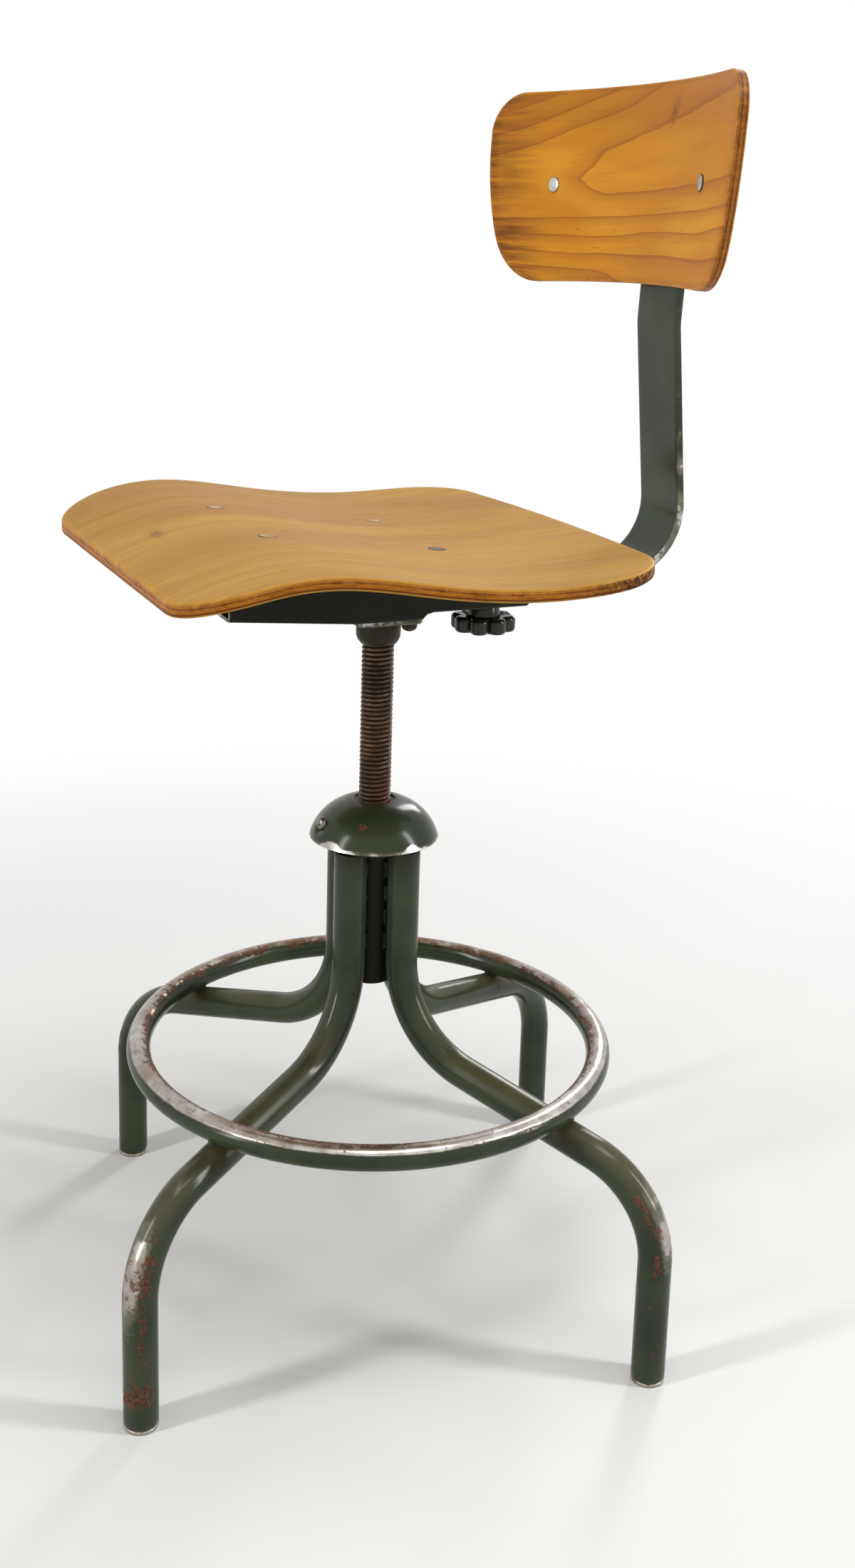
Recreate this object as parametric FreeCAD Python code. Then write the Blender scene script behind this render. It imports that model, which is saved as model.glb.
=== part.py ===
import math
import os

import FreeCAD
import Part

# A machinist stool: four bent tube legs with a foot ring, a threaded seat screw in a
# central column, a moulded plywood seat on a pressed channel and a plywood back.
# Millimetres. +Z up, the floor at z = 0, the screw on the Z axis, the sitter faces -Y.

# Legs and foot ring
leg_radius = 12.7
leg_wall = 1.8
leg_angle = 31.34
leg_upright = 29.7
leg_reach = 265.6
leg_top = 364.0
leg_bend_start = 272.0
leg_upper_bend = 80.0
leg_lower_bend = 70.8
leg_slope = 13.1
foot_cap_height = 2.6
foot_cap_edge = 1.1
foot_plug_top = 14.0
ring_radius = 184.8
ring_height = 195.1
ring_tube_radius = 9.4
ring_wall = 1.5
ring_weld_radius = 7.5

# Column, dome and lifting screw
column_radius = 16.9
column_bore = 14.2
column_bottom = 249.5
head_spigot = 18.0
head_flange_radius = 38.5
head_flange_top = 388.5
head_collar_radius = 15.2
dome_radius = 50.9
dome_hole = 16.0
dome_bottom = 370.0
dome_shoulder = (39.6, 388.6)
dome_top = 399.8
dome_sheet = 1.6
dome_screw_angle = 272.0
dome_screw_height = 384.0
screw_radius = 12.5
screw_shoulder = 266.0
journal_radius = 8.0
journal_length = 14.5
washer_thick = 4.0
end_nut_across = 23.0
end_nut_height = 8.9

# Seat, its channel and the plate on the screw
web_level = 550.0
rear_web_level = 555.0
channel_half = 40.0
channel_sheet = 2.5
channel_front = -132.0
channel_rear = 111.0
flange_reach = 76.0
flange_corner = 12.0
plate_half = 34.0
plate_front = -29.0
plate_rear = 24.0
plate_thick = 4.5
plate_corner = 7.0
boss_radius = 17.2
boss_height = 20.5
plate_bolt_spots = [(24.5, 15.0), (-24.5, -20.0)]
seat_ply = 9.0
seat_front = -209.0
seat_rear = 140.6
seat_half = 198.9
seat_bow = 14.0
seat_crown = 8.7
seat_front_corner = 57.0
seat_rear_corner = 66.0
seat_bolt_spots = [(x, y) for x in (-62.0, 62.0) for y in (-111.0, 19.0)]

# Back bar, clamp and backrest
bar_width = 57.2
bar_thick = 6.0
bar_level = 560.9
bar_corner = 12.0
clamp_y = 89.0
slide_travel = 20.0
stud_radius = 4.7
stud_bottom = 530.0
knob_bottom = 529.2
knob_top = 541.7
knob_radius = 25.5
lobe_count = 8
lobe_radius = 7.2
back_y = 206.8
back_z = 869.0
back_lean = 3.1
back_curve = 470.0
back_ply = 8.0
back_half_height = 77.6
back_left_rise = 4.5
back_half_top = 187.0
back_half_bottom = 160.7
back_bow = 13.0
back_top_corner = 35.0
back_bottom_corner = 50.0
back_bolt_reach = 112.0
back_bolt_height = 3.7
strap_thick = 3.5
strap_height = 44.0
strap_flat_half = 42.0
strap_pad_half = 15.0

# Clearances
running_gap = 0.06
bolt_gap = 0.05
lay_gap = 0.1

X_AXIS = FreeCAD.Vector(1, 0, 0)
Y_AXIS = FreeCAD.Vector(0, 1, 0)
Z_AXIS = FreeCAD.Vector(0, 0, 1)
ORIGIN = FreeCAD.Vector(0, 0, 0)


def vec(x, y, z):
    return FreeCAD.Vector(x, y, z)


def cylinder(radius, bottom, top, x=0.0, y=0.0):
    return Part.makeCylinder(radius, top - bottom, vec(x, y, bottom), Z_AXIS)


def tube(radius, bore, bottom, top, x=0.0, y=0.0):
    return cylinder(radius, bottom, top, x, y).cut(cylinder(bore, bottom, top, x, y))


def box(x0, x1, y0, y1, z0, z1):
    return Part.makeBox(x1 - x0, y1 - y0, z1 - z0, vec(x0, y0, z0))


def line(start, end):
    return Part.LineSegment(start, end).toShape()


def arc(start, through, end):
    return Part.Arc(start, through, end).toShape()


def turned(points):
    """A solid of revolution about Z from (radius, height) corners."""
    corners = [vec(r, 0, z) for r, z in points]
    face = Part.Face(Part.makePolygon(corners + corners[:1]))
    return face.revolve(ORIGIN, Z_AXIS, 360)


def hex_prism(across, bottom, top, x=0.0, y=0.0):
    reach = across / math.sqrt(3)
    corners = []
    for step in range(7):
        angle = math.radians(60 * step)
        corners.append(vec(x + reach * math.cos(angle), y + reach * math.sin(angle), bottom))
    return Part.Face(Part.makePolygon(corners)).extrude(vec(0, 0, top - bottom))


def hex_nut(across, bore, bottom, top, x=0.0, y=0.0):
    return hex_prism(across, bottom, top, x, y).cut(cylinder(bore, bottom, top, x, y))


def largest(shape):
    return max(shape.Solids, key=lambda solid: solid.Volume)


def upright_edges(shape):
    return [edge for edge in shape.Edges if abs(edge.tangentAt(edge.FirstParameter).z) > 0.99]


def round_head(radius, height, rounding, base, direction):
    """A round bolt head standing on base along direction, with its outer edge rounded."""
    head = Part.makeCylinder(radius, height, base, direction)
    crown = base + direction * height
    rim = [edge for edge in head.Edges if edge.Closed and edge.CenterOfMass.distanceToPoint(crown) < 0.1]
    return head.makeFillet(rounding, rim)


def bent_path(points, radii, side=0.0):
    """Edges of a polyline in the YZ plane with rounded corners, shifted sideways by side.

    Positive side lies to the left of the direction of travel.
    """
    headings = []
    for (y0, z0), (y1, z1) in zip(points, points[1:]):
        headings.append(math.atan2(z1 - z0, y1 - y0))
    ends = []
    for (y, z), heading in ((points[0], headings[0]), (points[-1], headings[-1])):
        ends.append(vec(0, y - side * math.sin(heading), z + side * math.cos(heading)))
    edges = []
    here = ends[0]
    for (y, z), radius, before, after in zip(points[1:-1], radii, headings, headings[1:]):
        turn = after - before
        reach = radius * math.tan(abs(turn) / 2)
        left = 1.0 if turn > 0 else -1.0
        centre_y = y - reach * math.cos(before) - left * radius * math.sin(before)
        centre_z = z - reach * math.sin(before) + left * radius * math.cos(before)
        arm = radius - left * side
        spots = []
        for share in (0.0, 0.5, 1.0):
            angle = before + turn * share - left * math.pi / 2
            spots.append(vec(0, centre_y + arm * math.cos(angle), centre_z + arm * math.sin(angle)))
        edges.append(line(here, spots[0]))
        edges.append(arc(*spots))
        here = spots[2]
    edges.append(line(here, ends[1]))
    return edges


def strip(points, radii, thickness, width):
    """A flat bar of the given width along X, bent along a path in the YZ plane."""
    upper = bent_path(points, radii, thickness / 2)
    lower = bent_path(points, radii, -thickness / 2)
    start = line(lower[0].Vertexes[0].Point, upper[0].Vertexes[0].Point)
    end = line(lower[-1].Vertexes[-1].Point, upper[-1].Vertexes[-1].Point)
    outline = Part.Wire(Part.__sortEdges__(upper + [end] + lower + [start]))
    bar = Part.Face(outline).extrude(vec(width, 0, 0))
    bar.translate(vec(-width / 2, 0, 0))
    return bar


def leg_points():
    """The corners of a leg's centre line as (distance from the axis, height)."""
    turn = math.radians(90 - leg_slope)
    upper_corner = (leg_upright, leg_bend_start - leg_upper_bend * math.tan(turn / 2))
    fall = (leg_reach - leg_upright) * math.tan(math.radians(leg_slope))
    lower_corner = (leg_reach, upper_corner[1] - fall)
    return [(leg_upright, leg_top), upper_corner, lower_corner, (leg_reach, foot_cap_height)]


def leg_solid(radius, bore=0.0):
    """A leg in the YZ plane, standing out along +Y, as a tube or a full rod."""
    solids = []
    for edge in bent_path(leg_points(), [leg_upper_bend, leg_lower_bend]):
        start = edge.valueAt(edge.FirstParameter)
        heading = edge.tangentAt(edge.FirstParameter)
        profile = Part.Face(Part.Wire(Part.makeCircle(radius, start, heading)))
        if bore:
            hole = Part.Face(Part.Wire(Part.makeCircle(bore, start, heading)))
            profile = profile.cut(hole).Faces[0]
        if isinstance(edge.Curve, Part.Circle):
            sweep = math.degrees(edge.Length / edge.Curve.Radius)
            solids.append(profile.revolve(edge.Curve.Center, edge.Curve.Axis, sweep))
        else:
            solids.append(profile.extrude(heading * edge.Length))
    return solids[0].multiFuse(solids[1:]).removeSplitter()


def around(shape, quarter):
    """A copy of a shape drawn along +Y, turned to one leg's direction."""
    copy = shape.copy()
    copy.rotate(ORIGIN, Z_AXIS, leg_angle - 90 + 90 * quarter)
    return copy


def four(shapes):
    return Part.makeCompound([around(shape, quarter) for quarter in range(4) for shape in shapes])


# Legs, foot caps and foot ring
leg_bore = leg_radius - leg_wall
leg_tube = leg_solid(leg_radius, leg_bore)
leg_rod = leg_solid(leg_radius)

cap_top = foot_cap_height - lay_gap
foot_cap = cylinder(leg_radius, 0, cap_top, 0, leg_reach)
foot_cap = foot_cap.makeFillet(foot_cap_edge, [foot_cap.Edges[2]])
foot_cap = foot_cap.fuse(cylinder(leg_bore - lay_gap, cap_top, foot_plug_top, 0, leg_reach))

ring_centre = vec(0, 0, ring_height)
ring_rod = Part.makeTorus(ring_radius, ring_tube_radius, ring_centre)
foot_ring = ring_rod.cut(Part.makeTorus(ring_radius, ring_tube_radius - ring_wall, ring_centre))

# Where the ring rests on a leg, a fillet of weld metal fills the wedge below it
weld_bottom = ring_height - ring_tube_radius - leg_radius
ring_weld = cylinder(ring_weld_radius, weld_bottom, ring_height, 0, ring_radius)
ring_weld = largest(ring_weld.cut(leg_rod).cut(ring_rod))

# Column, with the weld metal that joins it to the legs
column_tube = tube(column_radius, column_bore, column_bottom, leg_top)
seam_half = 7.0
seam_bottom = leg_bend_start + 4
seam_top = leg_top - 8
seam = box(-seam_half, seam_half, column_radius - 4, leg_upright - 4, seam_bottom, seam_top)
seam = seam.cut(cylinder(column_radius + 0.02, seam_bottom, seam_top))
seam = seam.cut(cylinder(leg_radius + 0.02, seam_bottom, seam_top, 0, leg_upright))
seam_sides = [solid for solid in seam.Solids if solid.Volume > 20]

# Head block: threaded spigot in the column, a flange on the legs and a collar under the dome
head_bottom = leg_top + 0.2
head_bore = screw_radius + running_gap
spigot_radius = column_bore - lay_gap
flange_edge = 2.5
skirt_radius = 33.0
web_radius = 22.0
web_top = 371.0
collar_foot = 392.0
head_block = turned(
    [
        (head_bore, head_bottom - head_spigot),
        (spigot_radius, head_bottom - head_spigot),
        (spigot_radius, head_bottom),
        (head_flange_radius, head_bottom),
        (head_flange_radius, head_flange_top - flange_edge),
        (skirt_radius + 1, head_flange_top),
        (skirt_radius, web_top),
        (web_radius, web_top),
        (web_radius - 1, collar_foot),
        (head_collar_radius, collar_foot + 4.5),
        (head_collar_radius, dome_top - 1),
        (head_bore, dome_top - 1),
    ]
)


def dome_side(inset):
    """The dome's side from rim to crown, an arc moved inwards by inset."""
    rim = vec(dome_radius - inset, 0, dome_bottom)
    shoulder = vec(dome_shoulder[0] - inset * 0.7, 0, dome_shoulder[1] - inset * 0.75)
    crown = vec(dome_hole, 0, dome_top - inset)
    return arc(rim, shoulder, crown)


def dome_end(radius_out, height_out, radius_in, height_in):
    return line(vec(radius_out, 0, height_out), vec(radius_in, 0, height_in))


rim_edge = dome_end(dome_radius, dome_bottom, dome_radius - dome_sheet, dome_bottom)
hole_edge = dome_end(dome_hole, dome_top, dome_hole, dome_top - dome_sheet)
dome_edges = [dome_side(0), rim_edge, dome_side(dome_sheet), hole_edge]
dome_cap = Part.Face(Part.Wire(Part.__sortEdges__(dome_edges))).revolve(ORIGIN, Z_AXIS, 360)

# A round-head screw with a cross recess, through the dome into the flange
dome_head_radius = 5.2
dome_head_height = 3.2
dome_head_base = 44.6
dome_shank_radius = 2.6
recess_half = 0.6
recess_reach = 3.1
recess_depth = 1.4
shank_base = vec(0, skirt_radius + 1.6, dome_screw_height)
shank_length = dome_head_base - shank_base.y + 1
head_base = vec(0, dome_head_base, dome_screw_height)
dome_screw = Part.makeCylinder(dome_shank_radius, shank_length, shank_base, Y_AXIS)
dome_screw = dome_screw.fuse(round_head(dome_head_radius, dome_head_height, 2.2, head_base, Y_AXIS))
recess_floor = dome_head_base + dome_head_height - recess_depth
for half_x, half_z in ((recess_reach, recess_half), (recess_half, recess_reach)):
    arm_bottom = dome_screw_height - half_z
    arm_top = dome_screw_height + half_z
    dome_screw = dome_screw.cut(box(-half_x, half_x, recess_floor, recess_floor + 5, arm_bottom, arm_top))
hole_base = vec(0, skirt_radius, dome_screw_height)
screw_hole = Part.makeCylinder(dome_shank_radius + bolt_gap, 22, hole_base, Y_AXIS)
# The sheet is pressed flat under the screw's head
head_seat = Part.makeCylinder(dome_head_radius + bolt_gap, 8, head_base - Y_AXIS * bolt_gap, Y_AXIS)
for shape in (dome_screw, screw_hole, head_seat):
    shape.rotate(ORIGIN, Z_AXIS, dome_screw_angle - 90)
dome_cap = dome_cap.cut(screw_hole).cut(head_seat)
head_block = head_block.cut(screw_hole)

# Seat screw with its journal, the stop washer that turns on it and the nut that keeps it
plate_bottom = web_level - plate_thick
journal_bottom = screw_shoulder - journal_length
seat_screw = cylinder(screw_radius, screw_shoulder, plate_bottom)
seat_screw = seat_screw.fuse(cylinder(journal_radius, journal_bottom, screw_shoulder))
washer_gap = 0.3
washer_bottom = screw_shoulder - washer_gap - washer_thick
stop_radius = column_bore - 0.4
stop_washer = tube(stop_radius, journal_radius + running_gap, washer_bottom, screw_shoulder - washer_gap)
end_nut_top = washer_bottom - washer_gap
screw_end_nut = hex_nut(end_nut_across, journal_radius, end_nut_top - end_nut_height, end_nut_top)

# Cast plate and boss at the top of the screw
screw_plate = box(-plate_half, plate_half, plate_front, plate_rear, plate_bottom, web_level)
screw_plate = screw_plate.makeFillet(plate_corner, upright_edges(screw_plate))
boss_bottom = web_level - plate_thick - boss_height
boss = turned(
    [
        (0, plate_bottom),
        (boss_radius, plate_bottom),
        (boss_radius, boss_bottom + 6.5),
        (boss_radius - 1.2, boss_bottom + 3.2),
        (boss_radius - 3.7, boss_bottom),
        (0, boss_bottom),
    ]
)
screw_plate = screw_plate.fuse(boss).cut(cylinder(screw_radius, boss_bottom, plate_bottom))

bolt_radius = 3.0
bolt_hole = bolt_radius + bolt_gap
nut_across = 10.0
nut_height = 4.5
plate_head_radius = 6.0
plate_head_height = 7.4
plate_bolts = []
plate_nuts = []
nut_seat = web_level + channel_sheet + lay_gap
for x, y in plate_bolt_spots:
    seat_point = vec(x, y, plate_bottom - bolt_gap)
    head = round_head(plate_head_radius, plate_head_height, 2.4, seat_point, -Z_AXIS)
    plate_bolts.append(head.fuse(cylinder(bolt_radius, plate_bottom - 1, nut_seat + 7, x, y)))
    screw_plate = screw_plate.cut(cylinder(bolt_hole, plate_bottom, web_level, x, y))
    plate_nuts.append(hex_nut(nut_across, bolt_radius, nut_seat, nut_seat + nut_height, x, y))

# Seat panel: one profile from the rolled front lip over the crest and the dish to the rear
seat_profile = [
    (-222.0, 596.0),
    (-170.0, 616.9),
    (-115.0, 624.7),
    (-55.0, 617.4),
    (50.0, 608.0),
    (130.0, 613.6),
    (160.0, 615.8),
]
offset_steps = 16


def seat_curve(drop):
    """The seat's profile, moved square to its surface by drop."""
    profile = Part.BSplineCurve()
    profile.interpolate([vec(0, y, z) for y, z in seat_profile])
    if not drop:
        return profile
    moved = []
    for step in range(offset_steps + 1):
        span = profile.LastParameter - profile.FirstParameter
        here = profile.FirstParameter + span * step / offset_steps
        spot = profile.value(here)
        along = profile.tangent(here)[0]
        moved.append(vec(0, spot.y + along.z * drop, spot.z - along.y * drop))
    lower = Part.BSplineCurve()
    lower.interpolate(moved)
    return lower


def seat_top_at(y):
    """Height of the seat's top face at a distance behind the screw."""
    crossing = seat_curve(0).intersect(Part.Line(vec(0, y, 0), vec(0, y, 100)))
    return crossing[0].Z


def between(upper, lower, half_width):
    """A solid between two profile curves, from -half_width to half_width along X."""
    start = line(upper.StartPoint, lower.StartPoint)
    end = line(upper.EndPoint, lower.EndPoint)
    wire = Part.Wire(Part.__sortEdges__([upper.toShape(), end, lower.toShape(), start]))
    solid = Part.Face(wire).extrude(vec(2 * half_width, 0, 0))
    solid.translate(vec(-half_width, 0, 0))
    return solid


def rim_of(panel, thickness):
    """The edges of a bent panel's two broad faces, without the short ones across its edge."""
    return [edge for edge in panel.Edges if edge.Length > thickness + 1]


low = 560.0
middle = (seat_front + seat_rear) / 2
front_left = vec(seat_half, seat_front, low)
front_right = vec(-seat_half, seat_front, low)
rear_left = vec(seat_half, seat_rear, low)
rear_right = vec(-seat_half, seat_rear, low)
seat_outline = Part.Wire(
    [
        line(front_right, front_left),
        arc(front_left, vec(seat_half + seat_bow, middle, low), rear_left),
        arc(rear_left, vec(0, seat_rear + seat_crown, low), rear_right),
        arc(rear_right, vec(-seat_half - seat_bow, middle, low), front_right),
    ]
)
seat_prism = Part.Face(seat_outline).extrude(vec(0, 0, 90))
rear_corners = [edge for edge in upright_edges(seat_prism) if edge.CenterOfMass.y > 0]
seat_prism = seat_prism.makeFillet(seat_rear_corner, rear_corners)
front_corners = []
for edge in upright_edges(seat_prism):
    if edge.CenterOfMass.y < seat_front + 1:
        front_corners.append(edge)
seat_prism = seat_prism.makeFillet(seat_front_corner, front_corners)
ply_edge = 1.6
seat_slab = between(seat_curve(0), seat_curve(seat_ply), seat_half + 40)
seat_panel = largest(seat_slab.common(seat_prism))
seat_panel = seat_panel.makeFillet(ply_edge, rim_of(seat_panel, seat_ply))

# Pressed channel under the seat, open at both ends, with flanges that follow the seat
floor_line = [
    (channel_front, 558.0),
    (-34.0, web_level),
    (20.0, web_level),
    (23.5, rear_web_level - 1.4),
    (29.0, rear_web_level),
    (channel_rear, rear_web_level),
]
ceiling = 640.0
tail_chamfer = 3.5


def above_floor(lift, half_width):
    """The space above the channel's floor line, raised by lift."""
    corners = [vec(-half_width, y, z + lift) for y, z in floor_line]
    corners.append(vec(-half_width, channel_rear, ceiling))
    corners.append(vec(-half_width, channel_front, ceiling))
    return Part.Face(Part.makePolygon(corners + corners[:1])).extrude(vec(2 * half_width, 0, 0))


under_seat = seat_curve(seat_ply + bolt_gap)
below_seat = between(under_seat, seat_curve(seat_ply + 60), channel_half + 60)
channel_shell = above_floor(0, channel_half).common(below_seat)
channel_shell = channel_shell.cut(above_floor(channel_sheet, channel_half - channel_sheet))
flange_slab = between(under_seat, seat_curve(seat_ply + bolt_gap + channel_sheet), flange_reach)
flange_limit = box(-flange_reach, flange_reach, channel_front, channel_rear, low, ceiling)
flange_limit = flange_limit.makeFillet(flange_corner, upright_edges(flange_limit))
inside_walls = box(1 - channel_half, channel_half - 1, channel_front, channel_rear, low, ceiling)
flanges = flange_slab.common(flange_limit).cut(inside_walls)
seat_channel = channel_shell.fuse(flanges.Solids)
tail_corner = vec(-channel_half, channel_rear, rear_web_level)
tail_points = [tail_corner, tail_corner - Y_AXIS * tail_chamfer, tail_corner + Z_AXIS * tail_chamfer]
tail_cut = Part.Face(Part.makePolygon(tail_points + tail_points[:1]))
seat_channel = seat_channel.cut(tail_cut.extrude(vec(2 * channel_half, 0, 0)))

stud_hole = stud_radius + 0.5
seat_channel = seat_channel.cut(cylinder(stud_hole, web_level, bar_level, 0, clamp_y))
for x, y in plate_bolt_spots:
    seat_channel = seat_channel.cut(cylinder(bolt_hole, web_level, web_level + 5, x, y))

# Seat bolts with flush heads, and their nuts under the flanges
seat_head_radius = 7.0
seat_head_depth = 3.0
seat_bolts = []
seat_nuts = []
for x, y in seat_bolt_spots:
    level = seat_top_at(y)
    head_bottom_level = level - seat_head_depth
    nut_top = level - seat_ply - channel_sheet - 1.1
    nut_bottom = nut_top - nut_height
    cone_base = vec(x, y, head_bottom_level)
    head = Part.makeCone(4.0, seat_head_radius, seat_head_depth, cone_base, Z_AXIS)
    seat_bolts.append(head.fuse(cylinder(bolt_radius, nut_bottom - 3, head_bottom_level + 0.1, x, y)))
    sink = Part.makeCone(4.0 + bolt_gap, seat_head_radius + bolt_gap, seat_head_depth, cone_base, Z_AXIS)
    sink = sink.fuse(cylinder(seat_head_radius + bolt_gap, level - 0.001, level + 6, x, y))
    hole = cylinder(bolt_hole, nut_bottom, head_bottom_level + 0.1, x, y)
    seat_panel = seat_panel.cut(hole.fuse(sink))
    seat_channel = seat_channel.cut(hole)
    seat_nuts.append(hex_nut(nut_across, bolt_radius, nut_bottom, nut_top, x, y))

# Back bar with its slot, bent up behind the seat and kinked towards the backrest
lean = math.radians(back_lean)
kink_y = 233.8
kink_z = 769.0
bar_above_kink = 132.0
bar_points = [
    (clamp_y - slide_travel - 20, bar_level),
    (140.0, bar_level),
    (251.0, 580.5),
    (kink_y, kink_z),
    (kink_y + bar_above_kink * math.sin(lean), kink_z + bar_above_kink * math.cos(lean)),
]
back_bar = strip(bar_points, [60, 53, 60], bar_thick, bar_width)
bar_top_level = bar_points[-1][1]
top_corners = []
for edge in back_bar.Edges:
    if abs(edge.Length - bar_thick) < 0.1 and edge.CenterOfMass.z > bar_top_level - 2:
        top_corners.append(edge)
back_bar = back_bar.makeFillet(bar_corner, top_corners)
slot_low = bar_level - bar_thick
slot_high = bar_level + bar_thick
slot = box(-stud_hole, stud_hole, clamp_y - slide_travel, clamp_y + slide_travel, slot_low, slot_high)
for end in (-slide_travel, slide_travel):
    slot = slot.fuse(cylinder(stud_hole, slot_low, slot_high, 0, clamp_y + end))
back_bar = back_bar.cut(slot)

# Clamp: a bolt through channel and slot, a plate on the bar, a washer and a knob below
bar_top = bar_level + bar_thick / 2
clamp_plate_bottom = bar_top + 0.3
clamp_plate_top = clamp_plate_bottom + 2.4
clamp_plate = box(-20, 20, clamp_y - 14, clamp_y + 14, clamp_plate_bottom, clamp_plate_top)
clamp_plate = clamp_plate.makeFillet(3, upright_edges(clamp_plate))
stud_pass = stud_radius + lay_gap
clamp_plate = clamp_plate.cut(cylinder(stud_pass, clamp_plate_bottom, clamp_plate_top, 0, clamp_y))
clamp_head_bottom = clamp_plate_top + lay_gap
clamp_bolt = cylinder(stud_radius, stud_bottom, clamp_head_bottom + 1, 0, clamp_y)
clamp_bolt = clamp_bolt.fuse(hex_prism(16.0, clamp_head_bottom, clamp_head_bottom + 6.5, 0, clamp_y))
knob_washer_top = rear_web_level - lay_gap
knob_washer_bottom = knob_washer_top - 2
knob_washer = tube(13.0, stud_pass, knob_washer_bottom, knob_washer_top, 0, clamp_y)

wheel = cylinder(knob_radius - 4.6, knob_bottom + 0.8, knob_top - 0.8, 0, clamp_y)
lobe_ring = knob_radius - lobe_radius
for step in range(lobe_count):
    angle = math.radians(360 / lobe_count * step + 10)
    lobe_x = lobe_ring * math.cos(angle)
    lobe_y = clamp_y + lobe_ring * math.sin(angle)
    lobe = cylinder(lobe_radius, knob_bottom, knob_top, lobe_x, lobe_y)
    wheel = wheel.fuse(lobe.makeFillet(3.2, [lobe.Edges[0], lobe.Edges[2]]))
hub_base = vec(0, clamp_y, knob_top - 1)
hub_height = knob_washer_bottom - 0.2 - hub_base.z
hub = Part.makeCone(14.0, 11.5, hub_height, hub_base, Z_AXIS)
knob_bore = stud_radius + 0.08
clamp_knob = wheel.fuse(hub).cut(cylinder(knob_bore, knob_bottom, knob_washer_bottom, 0, clamp_y))


def place_back(shape):
    """A shape drawn upright with the backrest's front face at y = 0, leaned and placed."""
    placed = shape.copy()
    placed.rotate(ORIGIN, X_AXIS, -back_lean)
    placed.translate(vec(0, back_y, back_z))
    return placed


# Backrest: a shell about an upright axis in front of it, cut by the flat outline
shell_base = vec(0, -back_curve, -120)
shell = Part.makeCylinder(back_curve + back_ply, 240, shell_base, Z_AXIS)
shell = shell.cut(Part.makeCylinder(back_curve, 240, shell_base, Z_AXIS))
chord_top = back_curve * math.sin(back_half_top / back_curve)
chord_bottom = back_curve * math.sin(back_half_bottom / back_curve)
middle_x = (chord_top + chord_bottom) / 2 + back_bow
cut_y = -120.0
cut_depth = 180.0
bottom_arch = 2.9
top_crown = 1.8
low_right = vec(-chord_bottom, cut_y, -back_half_height)
low_left = vec(chord_bottom, cut_y, back_left_rise - back_half_height)
high_left = vec(chord_top, cut_y, back_half_height)
high_right = vec(-chord_top, cut_y, back_half_height)
back_outline = Part.Wire(
    [
        arc(low_right, vec(0, cut_y, bottom_arch - back_half_height), low_left),
        arc(low_left, vec(middle_x, cut_y, 0), high_left),
        arc(high_left, vec(0, cut_y, back_half_height + top_crown), high_right),
        arc(high_right, vec(-middle_x, cut_y, 0), low_right),
    ]
)
back_prism = Part.Face(back_outline).extrude(Y_AXIS * cut_depth)


def corner_edges(sign):
    """The prism's long edges at its top (sign 1) or bottom (sign -1) corners."""
    corners = [high_left, high_right] if sign > 0 else [low_left, low_right]
    found = []
    for edge in back_prism.Edges:
        foot = edge.valueAt(edge.FirstParameter)
        for corner in corners:
            if edge.BoundBox.YLength > cut_depth - 1 and abs(foot.x - corner.x) + abs(foot.z - corner.z) < 1:
                found.append(edge)
    return found


back_prism = back_prism.makeFillet(back_top_corner, corner_edges(1))
back_prism = back_prism.makeFillet(back_bottom_corner, corner_edges(-1))
backrest = largest(shell.common(back_prism))
backrest = backrest.makeFillet(1.5, rim_of(backrest, back_ply))

# Strap behind the backrest: flat on the bar, stepped forward to a pad at each bolt
bolt_angle = back_bolt_reach / back_curve
along_x = math.cos(bolt_angle)
along_y = -math.sin(bolt_angle)
bar_axis = (kink_y - back_y) * math.cos(lean) - (kink_z - back_z) * math.sin(lean)
bar_front = bar_axis - bar_thick / 2
strap_y = bar_front - bolt_gap - strap_thick / 2
pad_radius = back_curve + back_ply + lay_gap + strap_thick / 2
pad_x = pad_radius * math.sin(bolt_angle)
pad_y = pad_radius * math.cos(bolt_angle) - back_curve
pad_inner = strap_pad_half * 1.15
strap_half = [
    (strap_flat_half, strap_y),
    (pad_x - pad_inner * along_x, pad_y - pad_inner * along_y),
    (pad_x + strap_pad_half * along_x, pad_y + strap_pad_half * along_y),
]
strap_line = [(-x, y) for x, y in reversed(strap_half)] + strap_half
# The strip is bent in the YZ plane, so its path axes are then turned to X and Y
strap = strip(strap_line, [14, 12, 12, 14], strap_thick, strap_height)
strap.rotate(ORIGIN, vec(1, 1, 1), -120)
strap_ends = []
for edge in strap.Edges:
    if abs(edge.Length - strap_thick) < 0.1 and abs(edge.CenterOfMass.x) > pad_x:
        strap_ends.append(edge)
strap = strap.makeFillet(8, strap_ends)
strap.translate(vec(0, 0, back_bolt_height))

back_head_radius = 6.3
back_head_height = 2.2
backrest_bolts = []
backrest_nuts = []
centre = vec(0, -back_curve, back_bolt_height)
for side in (-1, 1):
    direction = vec(side * math.sin(bolt_angle), math.cos(bolt_angle), 0)
    head_seat = centre + direction * (back_curve + 0.4)
    head = round_head(back_head_radius, back_head_height, 1.7, head_seat, -direction)
    nut_base = centre + direction * (pad_radius + strap_thick / 2 + bolt_gap)
    shank_length = (nut_base - head_seat).Length + nut_height + 3
    shank = Part.makeCylinder(bolt_radius, shank_length, head_seat, direction)
    bore = Part.makeCylinder(bolt_hole, 60, head_seat - direction * 20, direction)
    socket = Part.makeCylinder(back_head_radius + 0.2, 6.0, head_seat - direction * 5.9, direction)
    backrest = backrest.cut(bore).cut(socket)
    strap = strap.cut(bore)
    nut = hex_nut(nut_across, bolt_radius, 0, nut_height)
    nut.rotate(ORIGIN, X_AXIS, -90)
    nut.rotate(ORIGIN, Z_AXIS, -math.degrees(side * bolt_angle))
    nut.translate(nut_base)
    backrest_bolts.append(place_back(head.fuse(shank)))
    backrest_nuts.append(place_back(nut))

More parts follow.
